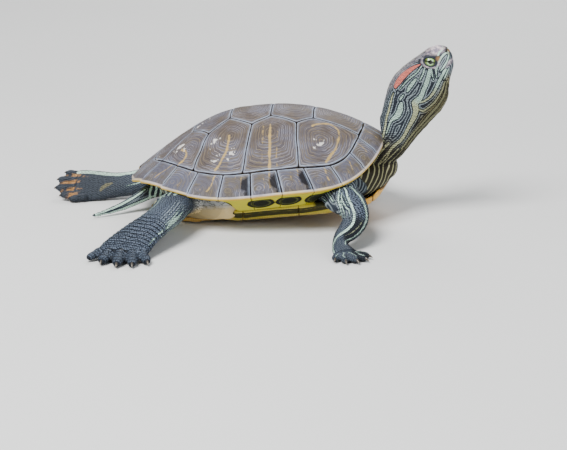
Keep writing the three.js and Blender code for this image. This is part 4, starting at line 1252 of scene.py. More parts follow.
# ---- markings of the skin ----
# Strokes are lines of (along, angle, half width in mm) on a limb. "warm" ones are pale but creamy, and
# "spot" ones dull yellow. Thin pale lines run beside all of them but the spots.
STROKES = {
    "head_neck": {
        "red": [
            [(5.15, -42, 0.3), (5.6, -38, 1.15), (6.2, -35, 2.05), (7, -35, 2.65), (7.7, -38, 2.6),
             (8.25, -41, 1.6)],
        ],
        "pale": [
            [(1.12, -48, 0.45), (1.46, -76, 0.65), (2.29, -92, 0.65), (3.12, -96, 0.6), (3.8, -94, 0.3)],
            [(4.72, -72, 1.2), (5.1, -78, 1.5), (5.55, -84, 1.7), (6.2, -89, 1.5), (6.85, -93, 1.9),
             (7.3, -93, 2.4)],
            [(3, -108, 0.8), (3.4, -107, 1.2), (4.67, -103, 1.2), (5.3, -104, 1.1)],
            [(6.15, -63, 0.4), (6.5, -65, 1.2), (7.1, -68, 1.3), (7.5, -71, 0.7)],
            [(7.95, -70, 0.4), (8.3, -70, 0.7), (8.5, -71, 0.4)],
            [(8.5, -77, 0.9), (8.75, -80, 1.9), (9, -83, 2.1), (9.4, -82, 2.1), (9.7, -78, 1.5),
             (10.2, -72, 0.7), (10.9, -74, 0.4)],
            [(1.75, -62, 0.5), (2.33, -66, 0.8), (3.2, -76, 0.8), (3.9, -84, 0.7), (4.35, -90, 0.4)],
            [(2.3, -42, 0.4), (2.7, -48, 0.7), (3.15, -58, 0.6)],
            [(4, -78, 0.4), (4.2, -86, 0.55), (4.5, -93, 0.4)],
            [(4.4, -68, 0.4), (4.62, -78, 0.5), (4.9, -90, 0.4)],
            [(5, -58, 0.5), (5.35, -65, 0.6), (5.9, -71, 0.5)],
            [(5.1, -48, 0.4), (5.8, -53, 0.5), (6.8, -53, 0.5), (7.9, -56, 0.4)],
            [(2.6, -118, 0.5), (3.2, -121, 0.6), (3.9, -117, 0.4)],
        ],
        "warm": [
            [(7.5, -93, 2.3), (7.97, -107, 1.9), (9.03, -115, 1.3), (9.93, -116, 1.2), (10.83, -106, 1.1),
             (11.3, -108, 0.9)],
            [(5.3, -104, 1.1), (5.87, -105, 0.9), (6.6, -103, 0.7), (7.1, -99, 0.5)],
            [(3.9, -126, 0.7), (5, -122, 0.8), (6.2, -121, 0.8), (7.2, -117, 0.7), (7.5, -108, 0.6)],
            [(3.63, -140, 0.8), (5.2, -137, 1), (6.57, -136, 1.2), (8.23, -138, 1), (10.3, -134, 0.8)],
            [(4.13, -174, 0.9), (5.33, -162, 1.5), (6.67, -154, 1.7), (8.03, -149, 1.3), (10, -150, 0.9)],
            [(8.7, -47, 0.4), (9.4, -51, 0.7), (10, -54, 0.8), (10.5, -55, 0.8), (11.23, -70, 0.7)],
            [(4.2, 0, 0.3), (5.5, 0, 0.5), (7.5, 0, 0.6), (9.5, 0, 0.5)],
            [(10.6, -160, 0.4), (11.6, -156, 0.6), (12.8, -158, 0.6), (14, -154, 0.5)],
            [(10.8, -138, 0.5), (11.8, -134, 0.6), (12.8, -136, 0.6), (14, -132, 0.5)],
            [(11.3, -112, 0.6), (12, -114, 0.6), (13, -110, 0.6), (14, -112, 0.5)],
            [(11, -90, 0.4), (12, -86, 0.5), (13, -88, 0.6), (14, -84, 0.5)],
            [(11.2, -64, 0.5), (12.2, -60, 0.6), (13.2, -62, 0.6), (14, -58, 0.5)],
        ],
    },
    "fore_right": {
        "pale": [
            [(1.4, 68, 0.6), (2, 65, 0.95), (2.8, 53, 1.2), (3.6, 23, 1.15), (4.2, -2, 1), (4.9, -15, 0.8),
             (5.8, -16, 0.6), (6.6, 11, 0.5), (7.3, 48, 0.45), (8, 71, 0.4)],
            [(1.2, 88, 0.5), (1.87, 94, 0.7), (2.4, 106, 0.85), (3, 104, 0.9), (3.63, 90, 0.9),
             (4.2, 72, 0.95), (4.7, 58, 1), (5.1, 51, 1), (5.8, 51, 1), (6.6, 82, 1), (7.3, 135, 0.95),
             (8, 166, 0.9), (8.8, 167, 0.7)],
            [(1.5, 98, 0.4), (1.75, 110, 0.6), (2.07, 132, 0.7), (2.4, 150, 0.75), (2.77, 157, 0.7),
             (3.1, 168, 0.65), (3.87, 158, 0.6), (4.6, 130, 0.4)],
            [(2, 112, 0.35), (2.3, 128, 0.55), (2.73, 133, 0.65), (3.27, 125, 0.65), (3.67, 108, 0.6),
             (4.17, 94, 0.5), (4.5, 92, 0.35)],
            [(2.45, 140, 0.35), (2.75, 145, 0.55), (3.03, 146, 0.6), (3.43, 140, 0.6), (4.1, 124, 0.5),
             (4.57, 116, 0.35)],
            [(2.2, 118, 0.3), (2.7, 119, 0.4), (3.2, 113, 0.35), (3.6, 99, 0.3)],
            [(1.3, 140, 0.5), (1.8, 160, 0.6), (2.4, 176, 0.65), (3, -172, 0.65), (3.8, -178, 0.55),
             (4.6, 160, 0.4)],
            [(1.2, 172, 0.5), (2, -168, 0.6), (3, -152, 0.6), (4, -160, 0.5)],
            [(2, -80, 0.4), (3, -90, 0.6), (4.4, -100, 0.6), (6, -95, 0.5), (8, -90, 0.4)],
        ],
        "warm": [
            [(4.3, 17, 0.3), (5, 14, 0.35), (5.8, 18, 0.3), (6.6, 47, 0.25)],
        ],
    },
    "hind_right": {
        "pale": [
            [(3.6, 1, 0.4), (4.1, -3, 1.2), (4.6, -3, 1.6), (5.1, -1, 1.4), (5.5, 0, 0.7)],
            [(5.7, 8, 0.4), (6, 10, 0.9), (6.3, 16, 0.4)],
            [(6.6, 16, 0.3), (7, 22, 0.6), (7.6, 23, 0.3)],
            [(2.4, -20, 0.4), (3.2, -24, 0.6), (4, -36, 0.7), (4.8, -36, 0.7), (5.6, -23, 0.6),
             (6.6, -7, 0.4)],
            [(3.4, 20, 0.3), (4, 15, 0.45), (4.6, 12, 0.5), (5.4, 17, 0.35)],
            [(2.4, 112, 0.6), (3.2, 112, 0.6), (4, 110, 0.6), (5, 122, 0.5), (6.4, 142, 0.4),
             (8.2, 156, 0.4)],
            [(1.4, 168, 0.7), (2.6, 170, 0.9), (3.7, 165, 0.8), (5, 158, 0.6)],
            [(2, -165, 0.6), (3.2, -160, 0.7), (4.6, -165, 0.5)],
        ],
        "warm": [
            [(1.4, 148, 0.8), (2.4, 152, 1), (3.2, 148, 0.9), (3.9, 146, 0.6)],
        ],
    },
    "hind_left": {
        "pale": [
            [(1, -20, 1.2), (2, -25, 1.5), (3, -34, 1.7), (4.2, -45, 1.9), (5.4, -47, 2.1),
             (6.5, -42, 2.1), (7.6, -38, 2), (8.3, -38, 1.7), (9, -38, 1.2)],
            [(2, -89, 0.4), (2.6, -95, 0.6), (3.2, -100, 0.5), (3.8, -110, 0.5), (4.4, -118, 0.3)],
            [(1.4, -64, 0.4), (2.2, -70, 0.5), (3.2, -79, 0.4), (4, -87, 0.3)],
            [(1.4, -50, 0.3), (2.4, -54, 0.35), (3.4, -63, 0.3)],
        ],
        "spot": [
            [(5.3, -98, 0.8), (5.7, -105, 1.7), (5.95, -116, 1.4), (6.05, -126, 0.8)],
        ],
    },
    "tail": {
        "pale": [
            [(1.2, 140, 1), (2.1, 136, 1.2), (3.3, 131, 1.1), (4.4, 131, 0.9), (5.7, 134, 0.8)],
            [(1.4, -140, 0.8), (2.3, -147, 0.9), (3.5, -149, 0.85), (4.6, -150, 0.7), (5.7, -152, 0.6)],
        ],
    },
}
STROKES["fore_left"] = {kind: [[(u, -angle, half) for u, angle, half in line] for line in lines]
                        for kind, lines in STROKES["fore_right"].items()}
STROKES["tail"]["pale"] += [[(u, 180 - angle, half) for u, angle, half in line]
                            for line in STROKES["tail"]["pale"]]
STROKE_STEP = 0.12
NO_STROKE = -30.0           # depth inside a stroke, in mm, where none is near
LIMB_REACH = 40             # mm round a limb's axis within which a point may be part of it
BODY_FROM = 1.9             # limb radii from every axis beyond which skin is the body's
CROWN = np.array([199, 4, 136])


def stroke_path(limb, line):
    """A stroke laid on the limb: points and half widths."""
    rows = np.array(line, float)
    rows[:, 1] = np.degrees(np.unwrap(np.radians(rows[:, 1])))
    count = max(4, round((rows[-1, 0] - rows[0, 0]) / STROKE_STEP) + len(rows))
    dense = spline(rows, np.linspace(0, len(rows) - 1, count))
    return limb.at(dense[:, 0], dense[:, 1], -COAT), dense[:, 2]


def inside_strokes(points, paths):
    """How deep inside the nearest stroke each point is, in mm; negative outside."""
    depth = np.full(len(points), NO_STROKE)
    for line, half in paths:
        reach = 16 + half.max()
        box = (points > line.min(0) - reach).all(1) & (points < line.max(0) + reach).all(1)
        near = points[box]
        if not len(near):
            continue
        best = np.full(len(near), NO_STROKE)
        for k in range(len(line) - 1):
            along = line[k + 1] - line[k]
            t = np.clip(((near - line[k]) @ along) / max(along @ along, 1e-9), 0, 1)
            gap = np.linalg.norm(near - line[k] - t[:, None] * along, axis=1)
            best = np.maximum(best, mix(half[k], half[k + 1], t) - gap)
        depth[box] = np.maximum(depth[box], best)
    return depth


LIMBS = {"head_neck": HEAD_NECK, "fore_right": FORE_RIGHT, "fore_left": FORE_LEFT, "hind_right": HIND_RIGHT,
         "hind_left": HIND_LEFT, "tail": TAIL}
# How strongly thin pale lines show along a limb, and how granular and slate-blue its skin is: stops of
# (along, value).
LINE_STOPS = {
    "head_neck": [(0, 0.4), (2, 1), (9, 1), (11, 0.6), (12, 0.15)], "tail": [(0, 0.5), (6, 0.3)],
    "fore_right": [(0, 0.5), (3, 0.6), (4, 0.45), (5, 0.15), (9, 0.1)],
    "hind_right": [(0, 0.8), (3.4, 0.45), (4.4, 0.2), (9, 0.0)],
    "hind_left": [(0, 0.3), (3, 0.12), (5, 0.05), (8, 0)],
}
BLUE_STOPS = {
    "head_neck": [(0, 0.25), (7, 0.25), (10, 0.3), (12, 0.15)], "tail": [(0, 0.3), (6, 0.3)],
    "fore_right": [(0, 0.15), (3, 0.4), (6, 0.7), (9, 0.55)],
    "hind_right": [(0, 0.35), (2.5, 0.7), (4, 1), (9, 1)],
    "hind_left": [(0, 0.8), (3, 0.65), (5, 0.5), (9, 0.45)],
}
for stops_table in (LINE_STOPS, BLUE_STOPS):
    stops_table["fore_left"] = stops_table["fore_right"]


def stops(table, along):
    rows = np.array(table, float)
    return np.interp(along, rows[:, 0], rows[:, 1])


def to_one_side(points, sign):
    """The points all brought over to one side of the animal."""
    return np.stack([points[:, 0], sign * np.abs(points[:, 1]), points[:, 2]], -1)


def skin_fields(points, limb_name, along, angle):
    """What each point of one limb's skin or scales knows of the markings."""
    place = to_one_side(points, -1) if limb_name == "head_neck" else points
    paths = {kind: [stroke_path(LIMBS[limb_name], line) for line in lines]
             for kind, lines in STROKES[limb_name].items()}
    red, pale, warm, spot = (inside_strokes(place, paths.get(kind, ()))
                             for kind in ("red", "pale", "warm", "spot"))
    fields = {key: np.zeros(len(points)) for key in ("olive", "snout", "tan", "cream", "throat")}
    fields.update({"red": red, "pale": np.maximum(pale, warm), "spot": spot,
                   "warm": smooth(-4, 4, warm - pale), "flow": -np.maximum(np.maximum(red, pale), warm),
                   "thin": stops(LINE_STOPS[limb_name], along), "blue": stops(BLUE_STOPS[limb_name], along),
                   "fold": fold_height(limb_name, along, angle)})
    if limb_name == "head_neck":
        mark_head(fields, points, along, np.abs(angle))
    elif limb_name == "hind_right":
        mark_near_hind_leg(fields, points, along, np.abs(angle))
    elif limb_name == "hind_left":
        mark_far_hind_leg(fields, points, along)
    elif limb_name.startswith("fore"):
        mark_foreleg(fields, along, angle if limb_name == "fore_right" else -angle)
    return fields


def mark_head(fields, points, along, angle):
    """An olive throat, a pinkish crown, beak and nape, tan nostrils and eye corners, and the lids."""
    near = to_one_side(points, 1)
    fields["throat"] = smooth(10.6, 11.6, along)
    chin = smooth(104, 132, angle) * smooth(3.2, 4.6, along)
    fields["olive"] = np.maximum(chin, smooth(10.2, 11.6, along))
    fields["blue"] *= 1 - fields["olive"]
    crown = 1 - smooth(6.8, 10.5, np.linalg.norm((near - CROWN) * [1, 1.1, 1.2], axis=1))
    beak = 1 - smooth(1.0, 2.4, distance_to(near, MOUTH + MOUTH_UP))
    nape = smooth(44, 30, angle) * smooth(2.4, 3.4, along) * smooth(9.5, 7.5, along)
    snout = np.maximum(crown, 0.7 * beak * smooth(206, 212, points[:, 0]))
    snout = np.maximum(snout, 0.42 * nape)
    eye_along, eye_up, eye_out, opening = eye_place(near)
    nostril = 1 - smooth(0.9, 2.0, np.linalg.norm(near - NOSTRIL, axis=1))
    corner = np.hypot(eye_along - 5.6, eye_up - 3.7) + 9 * (eye_out < -4)
    fields["tan"] = np.maximum(0.8 * nostril, 0.7 * (1 - smooth(0.4, 3.0, corner)))
    by_eye = (eye_out > 0) & (np.linalg.norm(near - EYE_AT, axis=1) < 9)
    lower_lid = smooth(1.1, 1.2, opening) * smooth(1.6, 1.4, opening) * smooth(2.5, 0.5, eye_up)
    upper_lid = smooth(1.12, 1.3, opening) * smooth(0.5, 2.5, eye_up)
    lids = np.maximum(0.8 * lower_lid, upper_lid * snout)
    fields["snout"] = np.where(by_eye & (opening < 1.75), lids, snout)
    fields["thin"] *= (1 - 0.85 * crown) * np.where(by_eye, smooth(1.9, 2.3, opening), 1)


def mark_near_hind_leg(fields, points, along, angle):
    """Thin lines down the front of the shank, and cream skin in the pocket before the thigh."""
    front = smooth(60, 40, angle) * smooth(2.8, 3.6, along) * smooth(6, 4.4, along)
    fields["thin"] = np.maximum(fields["thin"] * smooth(60, 110, angle), 0.8 * front)
    fields["cream"] = 0.8 * smooth(1.9, 1.2, along) * smooth(5, 12, points[:, 0])


def mark_far_hind_leg(fields, points, along):
    """Olive towards the foot, and tan webs between the toes."""
    fields["olive"] = smooth(3, 6, along) * 0.3
    toes = np.sort([distance_to(points, toe[:2]) for toe in TOES["hind_left"]], axis=0)
    ragged = along + 0.7 * waves(*points.T, size=5, seed=35)
    fields["tan"] = smooth(0.52, 0.7, toes[0] / np.maximum(toes[1], 0.1)) * smooth(7.6, 8.3, ragged)


def mark_foreleg(fields, along, angle):
    """A shield of slate scales between the stripes of the upper arm, and plain dark skin on the forearm."""
    forearm = (1 - smooth(35, 60, np.abs(angle - 15))) * smooth(4.0, 4.8, along)
    shield_angle = np.interp(along, [1.5, 2, 3, 4, 4.6], [108, 100, 80, 40, 28])
    shield = smooth(30, 22, np.abs(angle - shield_angle)) * smooth(1.4, 2.0, along)
    shield = shield * smooth(4.6, 4.1, along)
    fields["blue"] = np.maximum(fields["blue"] * (1 - 0.9 * forearm), shield)
    fields["thin"] *= (1 - forearm) * (1 - shield)


def fold_height(limb_name, along, angle):
    """Folds of the skin across the hind legs' ankles, from -1 to 1."""
    if not limb_name.startswith("hind"):
        return np.zeros(len(along))
    wander = 0.9 * np.sin(np.radians(angle) * 3) + 0.6 * np.sin(np.radians(angle) * 7 + 1)
    strength = smooth(4.6, 5.8, along) * smooth(9.0, 8.0, along) * (0.25 if limb_name == "hind_left" else 1)
    return strength * np.sin(along * 2 * math.pi * 3.3 + wander)


def mark_toes(fields, points, foot):
    """A pale line that bends down each toe, and painted shade of folds across the near hind foot's toes."""
    paths = []
    for k, toe in enumerate(TOE_LIMBS[foot]):
        near = np.flatnonzero(distance_to(points, TOES[foot][k][:2]) < 4.5)
        if foot == "hind_right" and len(near):
            along, turn, share = toe.place(points[near])
            fold = np.sin(along * 2 * math.pi * 1.1 + 0.5 * np.sin(np.radians(turn) * 3))
            mine = (along > 0.3) & (share < 1.25)
            fields["fold"][near[mine]] = fold[mine]
        top = 90 if toe.frame(2.0)[2][2] > 0 else -90
        bow = 26 if k % 2 else -22
        line = [(-0.6, top - bow, 0.3), (1.2, top, 0.5), (3.0, top + bow, 0.5), (4.6, top, 0.3)]
        paths.append(stroke_path(toe, line))
    stripe = inside_strokes(points, paths) - (1.0 if foot.startswith("hind") else 0.0)
    fields["pale"] = np.maximum(fields["pale"], stripe)


def nearest_limbs(points):
    """Which limb each point lies on, how far from its axis in shares of its radius, and, for each limb,
    the points near it and where on it they are."""
    best = np.full(len(points), np.inf)
    owner = np.zeros(len(points), int)
    placed = []
    for k, limb in enumerate(LIMBS.values()):
        middle = limb.frame(np.linspace(0, limb.end, 60))[0]
        near = ((points > middle.min(0) - LIMB_REACH) & (points < middle.max(0) + LIMB_REACH)).all(1)
        index = np.flatnonzero(near)
        along, angle, share = limb.place(points[near])
        share = share + 0.25 * (along < 0.3)
        closer = share < best[index]
        best[index[closer]] = share[closer]
        owner[index[closer]] = k
        placed.append((index, along, angle))
    return owner, best, placed


def mark_body(fields, points, body, names):
    """Upright stripes on the rump, lengthwise ones on the chest, cream leg pockets, and olive elsewhere."""
    x, y, z = points.T
    rump = body | (names == "hind_left")
    rump = rump | (names == "tail") & (x > -24) | (names == "hind_right") & (y > -74)
    rump = rump & (y < 30) & (x < 14) & (x > -30) & (z > 5)
    wander = waves(x * 0.5, y * 0.5, z, size=13, seed=33)
    upright = np.sin(x * 1.6 + 1.5 * wander) - 0.25 - 3 * smooth(6, 14, x)
    fields["pale"] = np.where(rump, np.maximum(fields["pale"], upright), fields["pale"])
    chest = np.maximum(fields.pop("throat"), body * smooth(92, 100, x)) * smooth(18, 26, z)
    across = x * 0.77 - z * 0.63 - 0.5 * np.abs(y) + 0.9 * waves(x, y, z, size=22, seed=34)
    lengthwise = 0.9 * np.sin(across * 1.35) - 0.6
    fields["pale"] = np.where(chest > 0.3, np.maximum(fields["pale"], lengthwise), fields["pale"])
    fields["thin"] *= ~rump * (1 - 0.6 * body) * (1 - chest)
    pocket = smooth(2, 8, x) * smooth(66, 56, x)
    fields["cream"] = np.maximum(fields["cream"], body * pocket)
    fields["olive"] = np.maximum(fields["olive"], 0.8 * body * (1 - pocket))


def all_fields(points):
    """Fields of the whole skin, each point taking those of the limb it lies on."""
    owner, share, placed = nearest_limbs(points)
    result = {}
    for k, (name, (index, along, angle)) in enumerate(zip(LIMBS, placed)):
        mine = owner[index] == k
        chosen = index[mine]
        fields = skin_fields(points[chosen], name, along[mine], angle[mine])
        if name in TOE_LIMBS:
            mark_toes(fields, points[chosen], name)
        for key, values in fields.items():
            result.setdefault(key, np.zeros(len(points)))[chosen] = values
    mark_body(result, points, share > BODY_FROM, np.array(list(LIMBS))[owner])
    result["level"] = to_shell(points)[:, 2]
    return result


def eyelids():
    """The rims of both eyes' lids, as rings round the openings."""
    turns = np.radians(np.arange(0, 360, 6))[:, None]
    a, b = LIDS[0] * 1.02 * np.cos(turns), LIDS[1] * 1.02 * np.sin(turns)
    reach = EYE_RADIUS + 0.25
    path = EYE_AT + a * EYE_LONG + b * EYE_UP + np.sqrt(reach ** 2 - a * a - b * b) * GAZE
    out = unit(path - EYE_AT)
    ahead = unit(np.roll(path, -1, axis=0) - np.roll(path, 1, axis=0))
    aside = np.cross(out, ahead)
    sides = np.radians(np.arange(0, 360, 45))
    rings = [path + 0.5 * (out * math.cos(s) + aside * math.sin(s)) for s in sides]
    points = np.stack(rings, 1).reshape(-1, 3)
    faces = [grid_faces(len(path) + 1, len(sides), wrap=True) % len(points)]
    return [(points * [1, side, 1], facing_out(points * [1, side, 1], faces)) for side in (1, -1)]


def make_skin(material):
    mesh = refine_head(fused(flesh_parts()))
    points, normals = mesh_arrays(mesh)
    points = keep_clear(shape_head(points, normals))
    folds = waves(points[:, 0] * 0.6, points[:, 1], points[:, 2], size=6, seed=40) * 0.12
    for name in ("hind_right", "hind_left"):
        along, angle, share = FEET[name].place(points)
        folds += 0.38 * fold_height(name, along, angle) * (share < 1.5)
    points = points + normals * folds[:, None]
    mesh.vertices.foreach_set("co", (points * MM).astype(np.float32).ravel())
    lids = mesh_piece("lids", *joined(eyelids()))
    whole = bmesh.new()
    whole.from_mesh(mesh)
    whole.from_mesh(lids.data)
    whole.to_mesh(mesh)
    whole.free()
    bpy.data.objects.remove(lids)
    mesh.shade_smooth()
    points = mesh_arrays(mesh)[0] / MM
    fields = all_fields(points)
    fields["tile"] = np.full(len(points), -1.0)
    add_fields(mesh, fields)
    mesh.materials.clear()
    mesh.materials.append(material)
    skin = bpy.data.objects.new("skin", mesh)
    bpy.context.scene.collection.objects.link(skin)
    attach(skin, "root")
    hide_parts("trunk", "neck", "head", "tail", *(f"leg_{foot}" for foot in FEET))
    return skin


# ---- eyes ----
CORNEA = 0.25               # how far the clear front stands out of the ball


def make_eyes(material):
    off = np.radians(np.linspace(2, 178, 60))[:, None]
    around = np.radians(np.arange(0, 360, 7.5))[None]
    a, b, c = np.sin(off) * np.cos(around), np.sin(off) * np.sin(around), np.cos(off) + 0 * around
    cornea = CORNEA * np.exp(-(off / 0.45) ** 2)[..., None] * UP
    ball = (EYE_RADIUS * np.stack([a, b, c], -1) + cornea) @ np.stack([EYE_LONG, EYE_UP, GAZE])
    front, back = EYE_AT + GAZE * (EYE_RADIUS + CORNEA), EYE_AT - GAZE * EYE_RADIUS
    points, faces = closed_tube(EYE_AT + ball, front, back)
    reach = np.append(np.where(c > 0, EYE_RADIUS * np.sin(off), -OFF + 0 * a).ravel(), [0, -OFF])
    level = np.append((EYE_RADIUS * b).ravel(), [0, 0])
    for name, side in (("eye_right", -1), ("eye_left", 1)):
        placed = points * [1, side, 1]
        fields = {"reach": reach, "level": level}
        mesh_piece(name, placed, facing_out(placed, faces), fields, "eye", [name], material)


def eye_finish():
    r = Recipe("eye")
    reach, level = r.field("reach"), r.field("level")
    fibres = r.noise(1.2, 4)
    # a green iris, brightest near the pupil
    iris = r.blend((0.16, 0.32, 0.06), (0.3, 0.5, 0.16), fibres)
    iris = r.blend(iris, (0.42, 0.62, 0.34), reach.near(2.1, 0.35, 0.2))
    iris = r.blend(iris, (0.1, 0.13, 0.02), reach.above(3.0, 0.5))
    # the black bar across it, and the pupil
    bar = (level.math("ABSOLUTE") * -1 + 1.25 - reach * 0.16).above(0.0, 0.25)
    iris = r.blend(iris, (0.012, 0.012, 0.008), bar * (fibres * 0.3 + 0.8).clamped() * 0.95)
    iris = r.blend(iris, (0.003, 0.003, 0.003), 1 - reach.above(1.7, 0.08))
    color = r.blend(iris, (0.012, 0.013, 0.01), reach.above(4.1, 0.25))
    return r.surface(color, 0.08, specular=0.4, coat=0.3, coat_roughness=0.03)


# ---- claws ----
CLAW_SIDES = 10
CLAW_RINGS = 9


def claw(root, tip, radius, length):
    """A tapering, down-curved claw out of the end of a toe."""
    _, tip, ahead, across = toe_axes(root, tip)
    up = np.cross(ahead, across)
    up = up * np.sign(up[2])
    share = np.linspace(0, 1, CLAW_RINGS)[:, None]
    start = tip + ahead * 0.6 + up * 0.3
    path = start + ahead * share * length
    path[:, 2] = mix(start[2], max(0.6, start[2] - 0.42 * length), share[:, 0] ** 1.7)
    half = radius * 0.34 * (1 - share) ** 0.75 + 0.12
    turns = np.radians(np.arange(CLAW_SIDES) * 360 / CLAW_SIDES)[:, None]
    rings = path[:, None] + half[:, None] * (across * np.cos(turns) * 0.85 + up * np.sin(turns))
    return closed_tube(rings, path[0], path[-1] + ahead * 0.12)


def make_claws(material):
    towards_tip = np.append(np.repeat(np.linspace(0, 1, CLAW_RINGS), CLAW_SIDES), [0, 1])
    for foot, toes in TOES.items():
        claws = [claw(*toe) for toe in toes if toe[3]]
        fields = {"tip": np.tile(towards_tip, len(claws))}
        mesh_piece(f"claws_{foot}", *joined(claws), fields, "shell_horn", material=material)


def claw_finish():
    r = Recipe("claw horn")
    streaks = r.noise(0.9, 4)
    horn = r.blend((0.02, 0.018, 0.015), (0.07, 0.055, 0.04), streaks)
    horn = r.blend(horn, (0.2, 0.16, 0.11), r.field("tip").above(0.75, 0.25) * 0.7)
    return r.surface(horn, 0.32, streaks, lift=0.05, coat=0.2, coat_roughness=0.2)


# ---- scales ----
# Widths of scales in mm along each limb: stops of (along, width).
SCALE_STOPS = {
    "head_neck": [(3.5, 1.15), (8, 1.35), (14, 1.9)], "tail": [(0, 1.9), (6, 1.2)],
    "fore_right": [(0, 1.9), (1.8, 2.2), (2.6, 2.9), (4.2, 2.8), (5, 2.3), (6, 1.9), (9, 1.6)],
    "hind_right": [(0, 1.9), (2.5, 2.0), (5, 2.0), (7, 2.0), (9, 1.9)],
    "hind_left": [(0, 1.9), (4, 1.9), (8, 1.7)],
}
SCALE_STOPS["fore_left"] = SCALE_STOPS["fore_right"]
ROW_SHARE = 0.72            # rows are this much of a scale's width apart
TOE_SCALES = [(0, 2.2), (5, 1.7)]
HEX = np.arange(6)          # the corners of a scale


def scale_places(limb, first, widths, seed):
    """Staggered rows of scales round a limb: along, angle and width of each."""
    rng = np.random.default_rng(SEED + seed)
    dense = np.linspace(first, limb.end, 600)
    step = np.linalg.norm(np.diff(limb.frame(dense)[0], axis=0), axis=1)
    travelled = np.concatenate([[0], np.cumsum(step)])
    angles = np.linspace(-180, 180, 73)
    rows = []
    at = 0.3
    while at < travelled[-1]:
        along = np.interp(at, travelled, dense)
        width = stops(widths, along)
        ring = limb.at(np.full(73, along), angles)
        around = np.concatenate([[0], np.cumsum(np.linalg.norm(np.diff(ring, axis=0), axis=1))])
        count = max(5, round(around[-1] / width))
        share = (np.arange(count) + 0.5 * (len(rows) % 2) + rng.uniform(-0.13, 0.13, count)) / count % 1
        turn = np.interp(share * around[-1], around, angles)
        rows.append(np.stack([along + 0 * turn, turn, around[-1] / count + 0 * turn], -1))
        at += ROW_SHARE * width
    return np.concatenate(rows)


def scale_shapes(centre, normal, ahead, width, long, fine):
    """Closed six-sided scales, tilted so that their far edges stand free; fine ones are plain pebbles."""
    aside = np.cross(normal, ahead)
    turns = np.radians(HEX * 60.0)
    x = np.cos(turns)[None, :, None] * (long * 0.62)[:, None, None]
    y = np.sin(turns)[None, :, None] * (width * 0.55)[:, None, None]
    lift = 0.04 + 0.14 * (1 + np.cos(turns))[None, :, None] * np.minimum(1, width / 1.8)[:, None, None]
    centre, normal, ahead, aside = (v[:, None] for v in (centre, normal, ahead, aside))
    flat = ahead * x + aside * y
    deep = centre - 0.22 * normal
    if fine:
        points = np.concatenate([centre + flat + normal * 0.02, centre + normal * 0.17, deep], 1)
        return points, np.concatenate([fan_faces(HEX, 6), fan_faces(HEX, 7, flip=True)])
    points = np.concatenate([centre + flat * 0.92 - normal * 0.2, centre + flat + normal * lift,
                             centre + flat * 0.74 + normal * (lift + 0.12), centre + normal * 0.3, deep], 1)
    quads = grid_faces(3, 6, wrap=True)
    sides = np.concatenate([quads[:, [0, 1, 2]], quads[:, [0, 2, 3]]])
    return points, np.concatenate([sides, fan_faces(12 + HEX, 18), fan_faces(HEX, 19, flip=True)])


# How far up its scale each of those points is, from 0 at the foot to 1 at the crown.
SCALE_TILE = [0.0] * 6 + [0.12] * 6 + [0.8] * 6 + [1.0, 0.0]
PEBBLE_TILE = [0.1] * 6 + [1.0, 0.0]


class Surface:
    """The finished skin, for laying things on."""

    def __init__(self, mesh):
        points, normals = mesh_arrays(mesh)
        self.points = points / MM
        self.faces = [tuple(polygon.vertices) for polygon in mesh.polygons]
        self.normals = normals
        self.tree = BVHTree.FromPolygons([tuple(p) for p in self.points], self.faces)

    def laid(self, points):
        """The nearest places on the skin, their normals, and how far off they were."""
        places, normals, gaps = [], [], []
        for point in points:
            place, _, face, gap = self.tree.find_nearest(point)
            places.append(tuple(place))
            normals.append(self.normals[list(self.faces[face])].mean(0))
            gaps.append(gap)
        return np.array(places), unit(np.array(normals)), np.array(gaps)


def shows(points):
    """Whether skin here is in sight: not deep inside the shell, nor against the floor or in an eye."""
    x, y, z = to_shell(points).T
    phi, rho = facing(x, y)
    within = (rho < 0.74) & (z < carapace(phi, rho)[:, 2])
    eye = np.linalg.norm(np.abs(points) - EYE_AT, axis=1) < EYE_RADIUS + 1.6
    return ~within & ~eye & (points[:, 2] > 0.5)


def lay_scales(limb, places, surface, strip, reach, fine):
    """Scales of one limb: points, faces, places on the coat's map, and where in its scale each point is."""
    along, angle, width = places.T
    ahead = limb.at(along + 0.05, angle) - limb.at(along - 0.05, angle)
    centre, normal, gap = surface.laid(limb.at(along, angle))
    kept = (gap < reach) & shows(centre)
    along, angle, width = places[kept].T
    centre, normal, ahead = centre[kept], normal[kept], ahead[kept]
    ahead = unit(ahead - normal * (ahead * normal).sum(1, keepdims=True))
    points, faces = scale_shapes(centre, normal, ahead, width, width * (0.9 if fine else 0.82), fine)
    offset = points - centre[:, None]
    aside = np.cross(normal, ahead)
    root = np.stack([mix(*strip, along / limb.end), angle / 360 + 0.5], -1)[:, None]
    patch = np.stack([(offset * ahead[:, None]).sum(-1), (offset * aside[:, None]).sum(-1)], -1)
    chart = 0.02 + 0.96 * root + 0.0013 * patch / width[:, None, None]
    faces = faces[None] + points.shape[1] * np.arange(len(points))[:, None, None]
    tile = np.tile(PEBBLE_TILE if fine else SCALE_TILE, len(points))
    return points.reshape(-1, 3), faces.reshape(-1, 3), chart.reshape(-1, 2), tile


